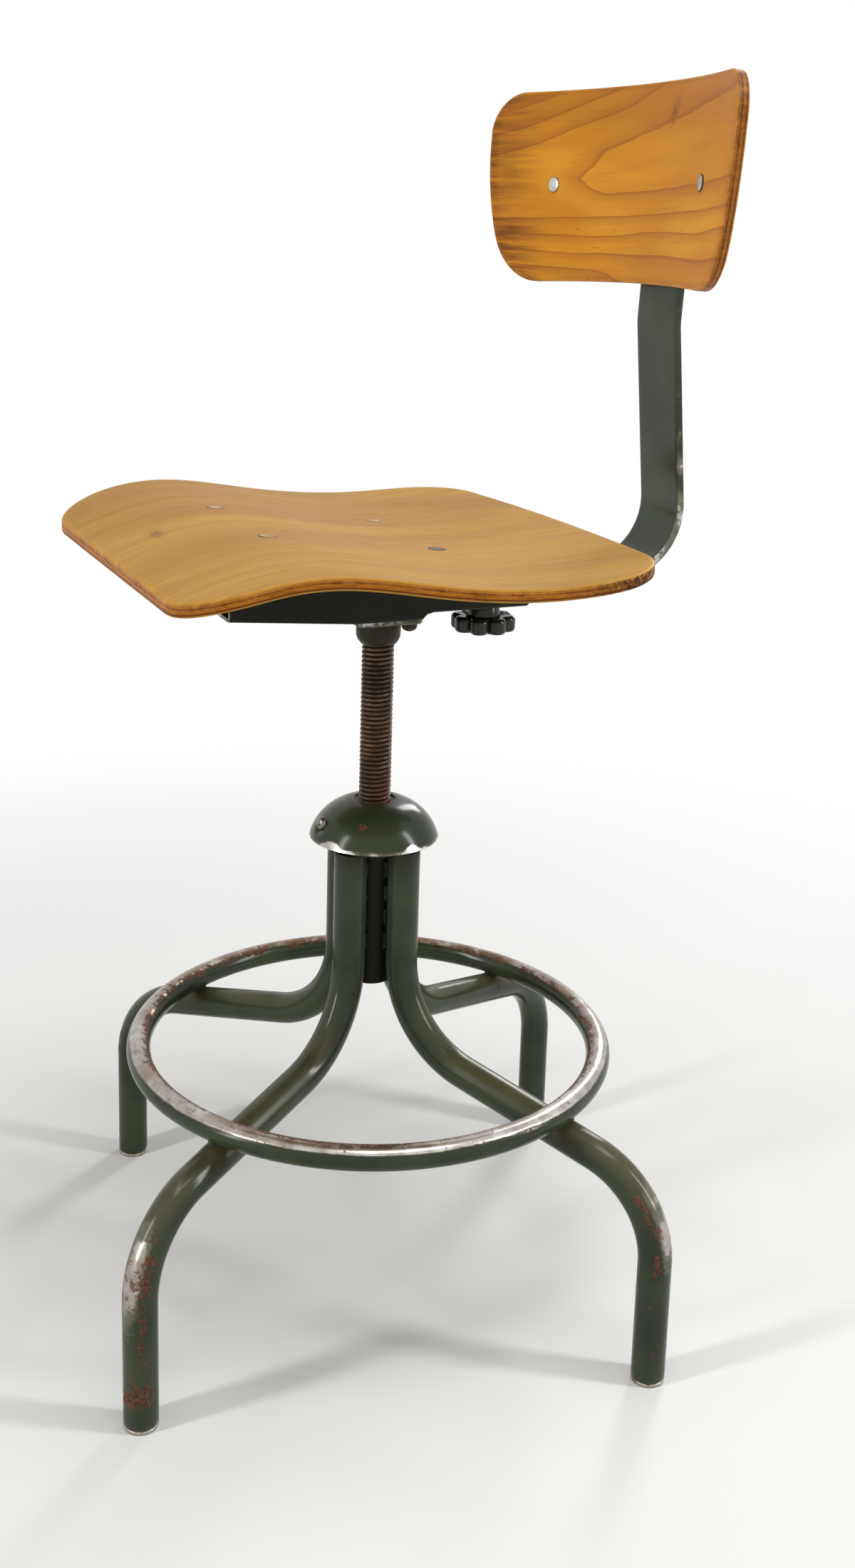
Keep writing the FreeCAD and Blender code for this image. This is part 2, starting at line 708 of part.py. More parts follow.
rivet_radius = 3.5
rivet_head_radius = 6.0
rivet_head_height = 2.4
strap_rivets = []
for x in (-15.0, 15.0):
    front_base = vec(x, strap_y - strap_thick / 2 - bolt_gap, back_bolt_height)
    rear_base = vec(x, bar_front + bar_thick + bolt_gap, back_bolt_height)
    rivet = Part.makeCylinder(rivet_radius, rear_base.y - front_base.y, front_base, Y_AXIS)
    for base, direction in ((front_base, -Y_AXIS), (rear_base, Y_AXIS)):
        rivet = rivet.fuse(round_head(rivet_head_radius, rivet_head_height, 2.0, base, direction))
    bore = Part.makeCylinder(rivet_radius + bolt_gap, 60, vec(x, 0, back_bolt_height), Y_AXIS)
    strap = strap.cut(bore)
    back_bar = back_bar.cut(place_back(bore))
    strap_rivets.append(place_back(rivet))

parts = {
    "foot_caps": four([foot_cap]),
    "foot_ring": foot_ring,
    "ring_welds": four([ring_weld]),
    "column_tube": column_tube,
    "column_welds": four(seam_sides),
    "head_block": head_block,
    "dome_cap": dome_cap,
    "dome_screw": dome_screw,
    "stop_washer": stop_washer,
    "seat_screw": seat_screw,
    "screw_end_nut": screw_end_nut,
    "screw_plate": screw_plate,
    "plate_bolts": Part.makeCompound(plate_bolts),
    "plate_nuts": Part.makeCompound(plate_nuts),
    "seat_channel": seat_channel,
    "seat_panel": seat_panel,
    "seat_bolts": Part.makeCompound(seat_bolts),
    "seat_nuts": Part.makeCompound(seat_nuts),
    "clamp_bolt": clamp_bolt,
    "clamp_plate": clamp_plate,
    "knob_washer": knob_washer,
    "clamp_knob": clamp_knob,
    "back_bar": back_bar,
    "back_strap": place_back(strap),
    "strap_rivets": Part.makeCompound(strap_rivets),
    "backrest_panel": place_back(backrest),
    "backrest_bolts": Part.makeCompound(backrest_bolts),
    "backrest_nuts": Part.makeCompound(backrest_nuts),
}
for quarter in range(4):
    parts["leg_" + str(quarter + 1)] = around(leg_tube, quarter)

os.makedirs("parts", exist_ok=True)
for name, shape in parts.items():
    print(name, shape.ShapeType, len(shape.Solids), shape.isValid(), round(shape.Volume))
    shape.exportStep("parts/" + name + ".step")
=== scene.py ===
"""Machinist stool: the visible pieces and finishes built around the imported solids.

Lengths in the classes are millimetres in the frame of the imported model: +Z up, the floor
at z = 0, the lifting screw on the Z axis and the sitter facing -Y. Meshes are in metres.
"""

from __future__ import annotations

import logging
import math
from dataclasses import dataclass
from enum import Enum
from functools import partial, reduce

import bmesh
import bpy
import numpy as np
from mathutils import Matrix

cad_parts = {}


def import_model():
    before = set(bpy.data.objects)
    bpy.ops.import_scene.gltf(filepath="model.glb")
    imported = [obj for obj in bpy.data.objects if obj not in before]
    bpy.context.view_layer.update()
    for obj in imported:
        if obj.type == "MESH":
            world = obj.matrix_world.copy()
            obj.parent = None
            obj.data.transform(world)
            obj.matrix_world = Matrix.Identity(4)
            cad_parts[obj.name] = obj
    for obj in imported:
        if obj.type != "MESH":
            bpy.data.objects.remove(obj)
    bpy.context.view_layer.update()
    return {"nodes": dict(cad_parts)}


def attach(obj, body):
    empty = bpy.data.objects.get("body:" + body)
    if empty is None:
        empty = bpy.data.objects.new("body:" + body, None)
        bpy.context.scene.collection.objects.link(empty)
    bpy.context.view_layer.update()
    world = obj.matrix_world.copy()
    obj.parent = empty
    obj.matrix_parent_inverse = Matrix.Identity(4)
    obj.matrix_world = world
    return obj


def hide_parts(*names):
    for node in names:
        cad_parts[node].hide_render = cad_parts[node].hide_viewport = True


LOG = logging.getLogger("stool")
MM = 0.001
WELD = 0.004
EDGE_POINTS = 240
ARC_POINTS = 60
LATTICE_PRIMES = (73856093, 19349663, 83492791)
UP = np.array([0.0, 0.0, 1.0])
Array = np.ndarray
Socket = bpy.types.NodeSocket
Colour = tuple[float, float, float]


# Arrays


def unit(vectors: Array) -> Array:
    """Vectors scaled to length one."""
    return vectors / np.maximum(np.linalg.norm(vectors, axis=-1, keepdims=True), 1e-12)


def smoothstep(low: float, high: float, value: Array) -> Array:
    """A cubic ramp from 0 at low to 1 at high."""
    share = np.clip((value - low) / (high - low), 0.0, 1.0)
    return share * share * (3.0 - 2.0 * share)


def bell(value: Array, centre: float, width: float) -> Array:
    """A smooth hump, 1 at its centre, falling as the exponential of -(distance / width) squared."""
    return np.exp(-((value - centre) / width) ** 2)


def leftward(headings: Array) -> Array:
    """Flat directions turned a quarter to the left."""
    return np.stack([-headings[..., 1], headings[..., 0]], axis=-1)


def value_noise(points: Array, cell: float, seed: int = 0) -> Array:
    """Smooth noise from 0 to 1: random values on a lattice, blended by cubic weights.

    Args:
        points: Places, with x, y and z on the last axis.
        cell: Lattice step, in the units of points.
        seed: Picks another lattice.

    Returns:
        One value per point.
    """
    scaled = points / cell
    base = np.floor(scaled).astype(np.int64)
    share = scaled - base
    share = share * share * (3.0 - 2.0 * share)
    total = np.zeros(points.shape[:-1])
    for corner in np.ndindex(2, 2, 2):
        index = base + np.array(corner)
        mixed = np.bitwise_xor.reduce(index * np.array(LATTICE_PRIMES), axis=-1)
        mixed = (mixed + seed * 7919) * 2654435761 % 2 ** 32
        mixed = (mixed ^ (mixed >> 15)) * 2246822519 % 2 ** 32
        value = (mixed ^ (mixed >> 13)) % 2 ** 16 / (2 ** 16 - 1)
        weight = np.where(np.array(corner) == 1, share, 1.0 - share).prod(axis=-1)
        total += value * weight
    return total


def rounded_line(corners: list, radii: list, step: float, arc_step: float) -> Array:
    """Points along a flat polyline whose inner corners are arcs.

    An arc's reach from its corner is its radius times the tangent of half the turn.

    Args:
        corners: The polyline's corners, as pairs.
        radii: One radius per inner corner.
        step: Spacing on the straight runs.
        arc_step: Spacing on the arcs.

    Returns:
        An array of points, two columns wide.
    """
    corners = np.asarray(corners, float)
    pieces = []
    here = corners[0]
    for index, radius in enumerate(radii, start=1):
        before = unit(corners[index] - corners[index - 1])
        after = unit(corners[index + 1] - corners[index])
        turn = math.atan2(before[0] * after[1] - before[1] * after[0], float(before @ after))
        start = corners[index] - before * radius * math.tan(abs(turn) / 2)
        centre = start + leftward(before) * math.copysign(radius, turn)
        count = max(2, int(np.linalg.norm(start - here) / step))
        pieces.append(here + (start - here) * np.linspace(0, 1, count, endpoint=False)[:, None])
        angles = np.linspace(0, turn, max(3, int(abs(turn) * radius / arc_step)))
        arm = start - centre
        turned = np.stack([arm[0] * np.cos(angles) - arm[1] * np.sin(angles),
                           arm[0] * np.sin(angles) + arm[1] * np.cos(angles)], axis=-1)
        pieces.append((centre + turned)[:-1])
        here = centre + turned[-1]
    count = max(2, int(np.linalg.norm(corners[-1] - here) / step))
    pieces.append(here + (corners[-1] - here) * np.linspace(0, 1, count)[:, None])
    return np.concatenate(pieces)


def circle(count: int) -> Array:
    """Points round a circle of radius one, the last one on the first."""
    angles = np.linspace(0, 2 * np.pi, count + 1)
    return np.stack([np.cos(angles), np.sin(angles)], axis=-1)


def sweep(line: Array, side: Array, profile: Array) -> Array:
    """A profile carried along a line: line + x * side + y * (side cross heading).

    Args:
        line: Rows of the line's points.
        side: The profile's first axis, one vector or one per row.
        profile: Pairs, for all rows or for each row.

    Returns:
        A grid of points, rows along the line and columns round the profile.
    """
    heading = unit(np.diff(line, axis=0))
    heading = unit(np.concatenate([heading[:1], heading[1:] + heading[:-1], heading[-1:]]))
    side = np.broadcast_to(side, line.shape)
    up = np.cross(side, heading)
    return line[:, None] + profile[..., :1] * side[:, None] + profile[..., 1:] * up[:, None]


def lathe(profile: Array, count: int, centre: tuple = (0.0, 0.0)) -> Array:
    """A profile of radius and height pairs turned about an upright axis through centre."""
    profile = np.asarray(profile, float)
    turn = circle(count)
    plan = profile[:, None, :1] * turn[None] + np.array(centre)
    height = np.broadcast_to(profile[:, None, 1:], plan[..., :1].shape)
    return np.concatenate([plan, height], axis=-1)


def eased(corners: list, radius: float) -> Array:
    """A profile's corners cut round, for edges that catch the light."""
    corners = np.asarray(corners, float)
    legs = np.linalg.norm(np.diff(corners, axis=0), axis=1)
    radii = []
    for index in range(1, len(corners) - 1):
        before = unit(corners[index] - corners[index - 1])
        after = unit(corners[index + 1] - corners[index])
        half = math.acos(max(-1.0, min(1.0, float(before @ after)))) / 2
        room = 0.45 * min(legs[index - 1], legs[index]) / max(math.tan(half), 1e-3)
        radii.append(min(radius, room))
    return rounded_line(corners, radii, step=8.0, arc_step=radius / 3)


def bowed(start: Array, end: Array, bow: float) -> Array:
    """A shallow parabolic edge from start to end, standing out to the right by bow."""
    start, end = np.asarray(start, float), np.asarray(end, float)
    share = np.linspace(0, 1, EDGE_POINTS)[:, None]
    outward = -leftward(unit(end - start))
    return start + (end - start) * share + outward * 4 * bow * share * (1 - share)


def closed_outline(edges: list, radii: list, count: int) -> Array:
    """A closed outline, anticlockwise, from edges joined by tangent arcs.

    The centre of an arc is where the two edges, moved inwards by its radius, cross.

    Args:
        edges: Rows of points, each edge ending where the next one starts.
        radii: The arc at the end of each edge.
        count: How many points the outline gets.

    Returns:
        Points at even steps, the last one on the first.
    """
    normals = [leftward(unit(np.gradient(edge, axis=0))) for edge in edges]
    cuts = [[0, len(edge)] for edge in edges]
    arcs = []
    for index, radius in enumerate(radii):
        following = (index + 1) % len(edges)
        first = edges[index] + normals[index] * radius
        second = edges[following] + normals[following] * radius
        gaps = np.linalg.norm(first[:, None] - second[None], axis=-1)
        here, there = np.unravel_index(gaps.argmin(), gaps.shape)
        cuts[index][1], cuts[following][0] = here, there
        centre = (first[here] + second[there]) / 2
        start, end = edges[index][here] - centre, edges[following][there] - centre
        turn = math.atan2(start[0] * end[1] - start[1] * end[0], float(start @ end))
        angles = np.linspace(0, turn, ARC_POINTS) + math.atan2(start[1], start[0])
        arcs.append(centre + radius * np.stack([np.cos(angles), np.sin(angles)], axis=-1))
    pieces = []
    for edge, (first, last), arc in zip(edges, cuts, arcs):
        pieces += [edge[first + 1:last], arc]
    loop = np.concatenate(pieces + [pieces[0][:1]])
    length = run_length(loop)
    steps = np.linspace(0, length[-1], count + 1)
    return np.stack([np.interp(steps, length, loop[:, axis]) for axis in (0, 1)], axis=-1)


def plate_skin(outline: Array, thick: float, rounding: float, rings: int,
               wall: int) -> tuple[Array, Array, Array]:
    """The closed skin of a plate: top centre, rounded rim, wall, and back to the bottom centre.

    Args:
        outline: The plan's closed outline, anticlockwise.
        thick: Thickness.
        rounding: Radius of both rims.
        rings: Rings of each broad face.
        wall: Rows on the wall.

    Returns:
        Plan points by row and column, the depth below the top face by row, and the
        distance inside the outline by row.
    """
    inward = leftward(unit(np.roll(outline[:-1], -1, axis=0) - np.roll(outline[:-1], 1, axis=0)))
    inward = np.concatenate([inward, inward[:1]])
    centre = outline[:-1].mean(axis=0)
    inner = outline + inward * rounding
    face = centre + (inner - centre)[None] * np.linspace(0, 1, rings)[:, None, None]
    angles = np.linspace(0, np.pi / 2, 5)[1:]
    inset = rounding * (1 - np.sin(angles))
    curve = outline[None] + inward[None] * inset[:, None, None]
    walls = np.broadcast_to(outline, (wall,) + outline.shape)
    plan = np.concatenate([face, curve, walls, curve[::-1], face[::-1]])
    drop = rounding * (1 - np.cos(angles))
    down = np.linspace(rounding, thick - rounding, wall + 2)[1:-1]
    depth = np.concatenate([np.zeros(rings), drop, down, thick - drop[::-1], np.full(rings, thick)])
    reach = np.linalg.norm(inner - centre, axis=-1).mean()
    inside = rounding + reach * (1 - np.linspace(0, 1, rings))
    inside = np.concatenate([inside, inset, np.zeros(wall), inset[::-1], inside[::-1]])
    return plan, depth, inside


def upright_points(plan: Array, height: Array) -> Array:
    """Points from their plan and their height."""
    return np.concatenate([plan, height[..., None]], axis=-1)


def run_length(line: Array) -> Array:
    """The length of a line up to each of its points."""
    return np.concatenate([[0], np.cumsum(np.linalg.norm(np.diff(line, axis=0), axis=1))])


def corner_cut(from_end: Array, radius: float) -> Array:
    """How far a rounded corner draws a side in, by the distance from the end."""
    reach = np.clip(radius - from_end, 0, None)
    return radius - np.sqrt(np.clip(radius ** 2 - reach ** 2, 0, None))


def grid_faces(rows: int, columns: int) -> Array:
    """The quads of a grid of points, each as four point numbers."""
    index = np.arange(rows * columns).reshape(rows, columns)
    corners = [index[:-1, :-1], index[:-1, 1:], index[1:, 1:], index[1:, :-1]]
    return np.stack(corners, axis=-1).reshape(-1, 4)


def new_object(name: str, data: bpy.types.ID) -> bpy.types.Object:
    """An object in the scene that shows some data."""
    item = bpy.data.objects.new(name, data)
    bpy.context.scene.collection.objects.link(item)
    return item


def axes_matrix(right: Array, up: Array, back: Array, place: Array) -> Matrix:
    """A matrix whose columns are three axes and a place."""
    matrix = np.eye(4)
    matrix[:3] = np.stack([right, up, back, place], axis=-1)
    return Matrix(matrix.tolist())


class PieceMesh:
    """Gathers grids of points and their fields, and writes them as one closed, welded mesh."""

    def __init__(self) -> None:
        """Starts empty."""
        self.points: list[Array] = []
        self.faces: list[Array] = []
        self.fields: list[dict[str, Array]] = []
        self.count = 0

    def grid(self, points: Array, **fields: Array) -> "PieceMesh":
        """Adds a grid of quads.

        Args:
            points: Rows by columns by three, in millimetres.
            **fields: Values per point, or anything that spreads to the grid's shape.

        Returns:
            The gatherer itself.
        """
        shape = points.shape[:2]
        self.faces.append(grid_faces(*shape) + self.count)
        self.points.append(points.reshape(-1, 3))
        self.fields.append({key: np.broadcast_to(value, shape).ravel()
                            for key, value in fields.items()})
        self.count += shape[0] * shape[1]
        return self

    def end_caps(self, points: Array, **fields: Array) -> None:
        """Closes both ends of a folded strip, whose profile runs out and back again."""
        count = points.shape[1] // 2
        for row in points[[0, -1]]:
            self.grid(np.stack([row[:count], row[::-1][:count]]), **fields)

    def build(self, name: str, finish: "Finish", body: str, node: str,
              sharp: float = 40.0) -> None:
        """Writes the mesh, welds its seams and poles, and hands the piece to its body.

        Args:
            name: The piece's name.
            finish: The finish, which also names the material slot.
            body: The body it moves with.
            node: The solid that it stands for.
            sharp: Edges that turn by more degrees than this stay crisp.
        """
        points = np.concatenate(self.points) * MM
        faces = np.concatenate(self.faces)
        mesh = bpy.data.meshes.new(name)
        mesh.vertices.add(len(points))
        mesh.vertices.foreach_set("co", points.astype(np.float32).ravel())
        mesh.loops.add(faces.size)
        mesh.loops.foreach_set("vertex_index", faces.astype(np.int32).ravel())
        mesh.polygons.add(len(faces))
        mesh.polygons.foreach_set("loop_start", np.arange(0, faces.size, 4, dtype=np.int32))
        mesh.update(calc_edges=True)
        for key in sorted({key for fields in self.fields for key in fields}):
            parts = [fields.get(key, np.zeros(len(part)))
                     for fields, part in zip(self.fields, self.points)]
            attribute = mesh.attributes.new(key, "FLOAT", "POINT")
            attribute.data.foreach_set("value", np.concatenate(parts).astype(np.float32))
        shape = bmesh.new()
        shape.from_mesh(mesh)
        bmesh.ops.remove_doubles(shape, verts=shape.verts, dist=WELD * MM)
        bmesh.ops.dissolve_degenerate(shape, edges=shape.edges, dist=1e-7)
        bmesh.ops.recalc_face_normals(shape, faces=shape.faces)
        shape.to_mesh(mesh)
        shape.free()
        mesh.shade_smooth()
        mesh.set_sharp_from_angle(angle=math.radians(sharp))
        mesh.materials.append(finish.material())
        piece = new_object(name, mesh)
        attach(piece, body)
        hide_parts(node)
        LOG.info("%s: %d faces on %s", name, len(mesh.polygons), body)


# Finishes


def tone(red: int, green: int, blue: int) -> Colour:
    """A display colour, 0 to 255 per channel, as linear light."""
    def linear(value: int) -> float:
        """One channel."""
        share = value / 255
        return share / 12.92 if share <= 0.04045 else ((share + 0.055) / 1.055) ** 2.4
    return linear(red), linear(green), linear(blue)
PAINT_FLECK = tone(120, 122, 104)
THIN_PAINT = tone(128, 126, 108)
RUBBED_STEEL = tone(168, 163, 157), tone(206, 204, 200)
STAINED_STEEL = tone(112, 82, 60)
OXIDE = tone(66, 42, 27), tone(110, 70, 44)
OILY_DIRT_AND_SHADE = tone(36, 31, 20)
DUST_AND_SHEEN_FILM = tone(116, 106, 72)
SCREW_BROWN = tone(44, 35, 26), tone(98, 56, 32)
SCREW_OIL = tone(66, 54, 40)
SCREW_CREST = tone(92, 70, 50), tone(140, 120, 98)
SCREW_ROOT_SHADE = tone(24, 19, 15)
RUST_SPECK = tone(92, 52, 28)
RIM_SHADE_AND_GRIME = tone(34, 26, 16)
SEAT_BAND = tone(140, 92, 40)
SEAT_FIBRE = tone(132, 84, 36)
SEAT_PORE = tone(92, 56, 22)
SCAR_BROWN = tone(84, 56, 26)
EDGE_PLIES = tone(128, 66, 16), tone(186, 116, 34)
EDGE_SPOT = tone(92, 46, 12)
GLUE_LINE = tone(48, 22, 8)
RUBBED_WOOD_AND_HIGHLIGHT = tone(210, 148, 66)
CHAR = tone(36, 24, 12)
TOP_AND_END_DARK = tone(160, 98, 22)
RING_SHADE = tone(158, 90, 20)
RING_LINE = tone(122, 64, 14)
BACK_FIBRE = tone(146, 86, 24)
BACK_DASH = tone(98, 54, 16)
SCORCH = tone(104, 56, 10)


class Nodes:
    """A short hand for a node tree: most methods add nodes and return their output."""

    def __init__(self, tree: bpy.types.NodeTree) -> None:
        """Starts with the tree emptied."""
        self.tree = tree
        tree.nodes.clear()

    def put(self, socket: Socket, value: object) -> None:
        """Links a value that is an output, or sets a plain one."""
        if isinstance(value, Socket):
            self.tree.links.new(value, socket)
        elif socket.type == "RGBA":
            socket.default_value = value + (1.0,)
        else:
            socket.default_value = value

    def add(self, kind: str, values: dict | None = None, **settings: object) -> bpy.types.Node:
        """A node of a kind, with settings, and values for its inputs by number or name."""
        node = self.tree.nodes.new(kind)
        for key, value in settings.items():
            setattr(node, key, value)
        for key, value in (values or {}).items():
            self.put(node.inputs[key], value)
        return node

    def calc(self, operation: str, *values: object) -> Socket:
        """One arithmetic step."""
        return self.add("ShaderNodeMath", dict(enumerate(values)), operation=operation).outputs[0]

    def total(self, *values: object) -> Socket:
        """A sum."""
        return reduce(partial(self.calc, "ADD"), values)

    def product(self, *values: object) -> Socket:
        """A product."""
        return reduce(partial(self.calc, "MULTIPLY"), values)

    def ramp(self, value: object, low: float, high: float) -> Socket:
        """A smooth step from 0 at low to 1 at high, or downwards where low is above high."""
        ends = (low, high, 0.0, 1.0) if low < high else (high, low, 1.0, 0.0)
        return self.add("ShaderNodeMapRange", dict(enumerate((value, *ends))),
                        interpolation_type="SMOOTHSTEP").outputs[0]

    def field(self, name: str) -> Socket:
        """A field of the mesh, 0 where it has none."""
        return self.add("ShaderNodeAttribute", attribute_name=name).outputs["Fac"]

    def blend(self, share: object, first: object, second: object) -> Socket:
        """Colours mixed by share."""
        return self.add("ShaderNodeMix", {0: share, 6: first, 7: second},
                        data_type="RGBA").outputs[2]

    def mix(self, share: object, first: object, second: object) -> Socket:
        """Numbers mixed by share."""
        return self.add("ShaderNodeMix", {0: share, 2: first, 3: second}).outputs[0]

    def coat(self, under: object, top: object, *shares: object) -> Socket:
        """A colour laid over another by the product of shares."""
        return self.blend(self.product(*shares), under, top)


class Graph(Nodes):
    """A material's nodes, from object coordinates to its surface shader."""

    def __init__(self, name: str) -> None:
        """Starts a material with a surface shader and object coordinates."""
        self.material = bpy.data.materials.new(name)
        self.material.use_nodes = True
        super().__init__(self.material.node_tree)
        self.surface = self.add("ShaderNodeBsdfPrincipled")
        self.end = self.add("ShaderNodeOutputMaterial", {"Surface": self.surface.outputs[0]})
        self.place = self.add("ShaderNodeTexCoord").outputs["Object"]

    def noise(self, scale: float, detail: float = 4.0, rough: float = 0.55,
              stretch: tuple = (1.0, 1.0, 1.0), twist: float = 0.0, shift: float = 0.0) -> Socket:
        """Cloud noise about 0.5; scale is per metre and stretch multiplies it by axis."""
        where = self.place
        if stretch != (1.0, 1.0, 1.0) or shift:
            where = self.add("ShaderNodeMapping", {
                "Vector": where, "Location": (shift, shift * 0.7, shift * 1.3),
                "Scale": stretch}).outputs[0]
        return self.add("ShaderNodeTexNoise", {
            "Vector": where, "Scale": scale, "Detail": detail, "Roughness": rough,
            "Distortion": twist}).outputs[0]

    def cloud(self, low: float, high: float, *noise: object, **settings: object) -> Socket:
        """Cloud noise cut by a smooth step from low to high."""
        return self.ramp(self.noise(*noise, **settings), low, high)

    def bump(self, height: object, depth: float, under: object = None) -> Socket:
        """A normal from a height of 0 to 1, with its depth in millimetres."""
        values = {"Distance": depth * MM, "Height": height}
        if under is not None:
            values["Normal"] = under
        return self.add("ShaderNodeBump", values).outputs[0]

    def close(self, **values: object) -> bpy.types.Material:
        """Sets the surface shader's inputs by name, underscores for spaces."""
        for key, value in values.items():
            self.put(self.surface.inputs[key.replace("_", " ")], value)
        return self.material


@dataclass(frozen=True)
class Finish:
    """A finish with one material, made at its first use.

    Args:
        slot: The record's material slot.
        kind: What tells it from others of its class in its slot.
    """

    slot: str = ""
    kind: str = ""

    def material(self) -> bpy.types.Material:
        """The finish's material."""
        name = f"{self.slot}_{type(self).__name__.lower()}{self.kind}"
        return bpy.data.materials.get(name) or self.shade(Graph(name))

    def shade(self, graph: Graph) -> bpy.types.Material:
        """Builds the nodes."""
        raise NotImplementedError


@dataclass(frozen=True)
class Paint(Finish):
    """Old glossy machine paint: clouds, orange peel, places rubbed to steel, stains and rust.

    Args:
        base: The paint's colour.
        light: Its faded colour.
        rough: Roughness.
        cast: Depth of a coarse cast skin, in millimetres.
        gloss: Strength of the clear reflection, where 0.5 is that of glass.
    """

    slot: str = "machine_paint"
    base: Colour = tone(42, 50, 36)
    light: Colour = tone(62, 70, 50)
    rough: float = 0.15
    cast: float = 0.0
    gloss: float = 0.22

    def shade(self, graph: Graph) -> bpy.types.Material:
        """Paint over steel, laid bare where the wear field and uneven noise add up."""
        rust = graph.field("rust")
        cloud = graph.cloud(0.25, 0.8, 16, 3, shift=0.31)
        paint = graph.blend(cloud, self.base, self.light)
        paint = graph.coat(paint, PAINT_FLECK, graph.cloud(0.68, 0.76, 900, 2), 0.2)
        rub = graph.total(graph.field("wear"),
                          graph.product(graph.noise(240, 8, 0.68, shift=1.7), 0.36),
                          graph.product(graph.noise(75, 4, 0.5, shift=3.9), 0.3))
        chip = graph.total(graph.noise(130, 7, 0.72, shift=6.1), graph.product(rust, 0.06))
        chip = graph.product(graph.ramp(chip, 0.735, 0.75), 0.8)
        bare = graph.calc("MAXIMUM", graph.ramp(rub, 0.76, 0.84), chip)
        steel = graph.blend(graph.cloud(0.35, 0.65, 60, 5, shift=4.0), *RUBBED_STEEL)
        steel = graph.coat(steel, STAINED_STEEL, graph.field("stain"),
                           graph.cloud(0.22, 0.55, 48, 6, 0.62, shift=8.3))
        colour = graph.coat(paint, THIN_PAINT, graph.ramp(rub, 0.58, 0.76), 0.6)
        colour = graph.blend(bare, colour, steel)
        speck = graph.total(graph.noise(210, 10, 0.72, shift=2.2), graph.product(rust, 0.3))
        speck = graph.ramp(speck, 0.69, 0.735)
        oxide = graph.blend(graph.cloud(0.4, 0.6, 500, 4), *OXIDE)
        colour = graph.coat(colour, oxide, speck, 0.9)
        # Dark oily dirt where the pieces' fields mark grime, and painted shade where they mark
        # shadow.
        dirt_and_shade = graph.product(graph.field("grime"), graph.cloud(0.2, 0.62, 110, 5, shift=3.0))
        colour = graph.coat(colour, OILY_DIRT_AND_SHADE, dirt_and_shade, 0.85)
        # A lighter olive film on upward faces: dust, and painted sheen of the light from above.
        film = graph.cloud(0.1, 0.7, 36, 5, 0.55, shift=5.5)
        colour = graph.coat(colour, DUST_AND_SHEEN_FILM, graph.field("dust"), film, 0.4)
        rough = graph.mix(bare, graph.mix(cloud, self.rough, self.rough + 0.08), 0.24)
        rough = graph.mix(speck, graph.mix(dirt_and_shade, rough, 0.55), 0.7)
        metal = graph.product(bare, graph.calc("SUBTRACT", 1.0, speck), 0.9)
        normal = graph.bump(graph.noise(300, 2, 0.4), 0.008 + self.cast * 0.3)
        if self.cast:
            normal = graph.bump(graph.noise(260, 5, 0.6), self.cast, normal)
        normal = graph.bump(graph.total(graph.product(bare, -0.8), speck), 0.05, normal)
        return graph.close(Base_Color=colour, Roughness=rough, Metallic=metal, Normal=normal,
                           Specular_IOR_Level=graph.mix(bare, self.gloss, 0.5))


@dataclass(frozen=True)
class RustyScrew(Finish):
    """Oiled, browned screw steel: painted shade in the thread roots, rubbed crests and patches of
    rust.
    """

    slot: str = "screw_steel"

    def shade(self, graph: Graph) -> bpy.types.Material:
        """Brown patina by clouds, lightened by the crest field."""
        crest = graph.field("crest")
        cloud = graph.cloud(0.36, 0.68, 60, 6, 0.65, stretch=(1, 1, 0.45))
        brown = graph.blend(cloud, *SCREW_BROWN)
        brown = graph.blend(graph.cloud(0.5, 0.7, 240, 4), brown, SCREW_OIL)
        rubbed = graph.blend(graph.noise(200, 5), *SCREW_CREST)
        share = graph.product(graph.ramp(crest, 0.55, 1.0),
                              graph.cloud(0.36, 0.7, 90, 5, shift=2.0))
        colour = graph.coat(brown, rubbed, share, 0.6)
        # Near black in the thread roots: painted shade.
        colour = graph.blend(graph.ramp(crest, 0.45, 0.0), colour, SCREW_ROOT_SHADE)
        return graph.close(Base_Color=colour, Roughness=graph.mix(share, 0.55, 0.34),
                           Metallic=graph.mix(share, 0.25, 0.8),
                           Normal=graph.bump(graph.noise(500, 6, 0.65), 0.12),
                           Specular_IOR_Level=0.25)


@dataclass(frozen=True)
class BareSteel(Finish):
    """Plated or bare steel with fine scratches and a dull patina.

    Args:
        base: Colour of the metal.
        stain: Colour of its patina.
        rough: Roughness.
    """

    slot: str = "bright_steel"
    base: Colour = tone(204, 204, 196)
    stain: Colour = tone(164, 160, 148)
    rough: float = 0.26

    def shade(self, graph: Graph) -> bpy.types.Material:
        """Metal with clouds of patina and specks of rust."""
        cloud = graph.cloud(0.42, 0.72, 180, 5, 0.6)
        colour = graph.blend(cloud, self.base, self.stain)
        rust = graph.product(graph.field("rust"), 0.4)
        speck = graph.ramp(graph.total(graph.noise(600, 5, 0.7), rust), 0.78, 0.86)
        colour = graph.blend(speck, colour, RUST_SPECK)
        # Dark rim colour: painted shadow of the gap round a bolt head, and stains on one head.
        colour = graph.blend(graph.field("grime"), colour, RIM_SHADE_AND_GRIME)
        rough = graph.mix(speck, graph.mix(cloud, self.rough, self.rough + 0.2), 0.8)
        return graph.close(Base_Color=colour, Roughness=rough,
                           Metallic=graph.mix(speck, 0.95, 0.1),
                           Normal=graph.bump(graph.noise(900, 4), 0.03))


class Grain(Enum):
    """The way a face veneer's grain runs."""

    FRONT_TO_BACK = "front_to_back"
    ACROSS = "across"


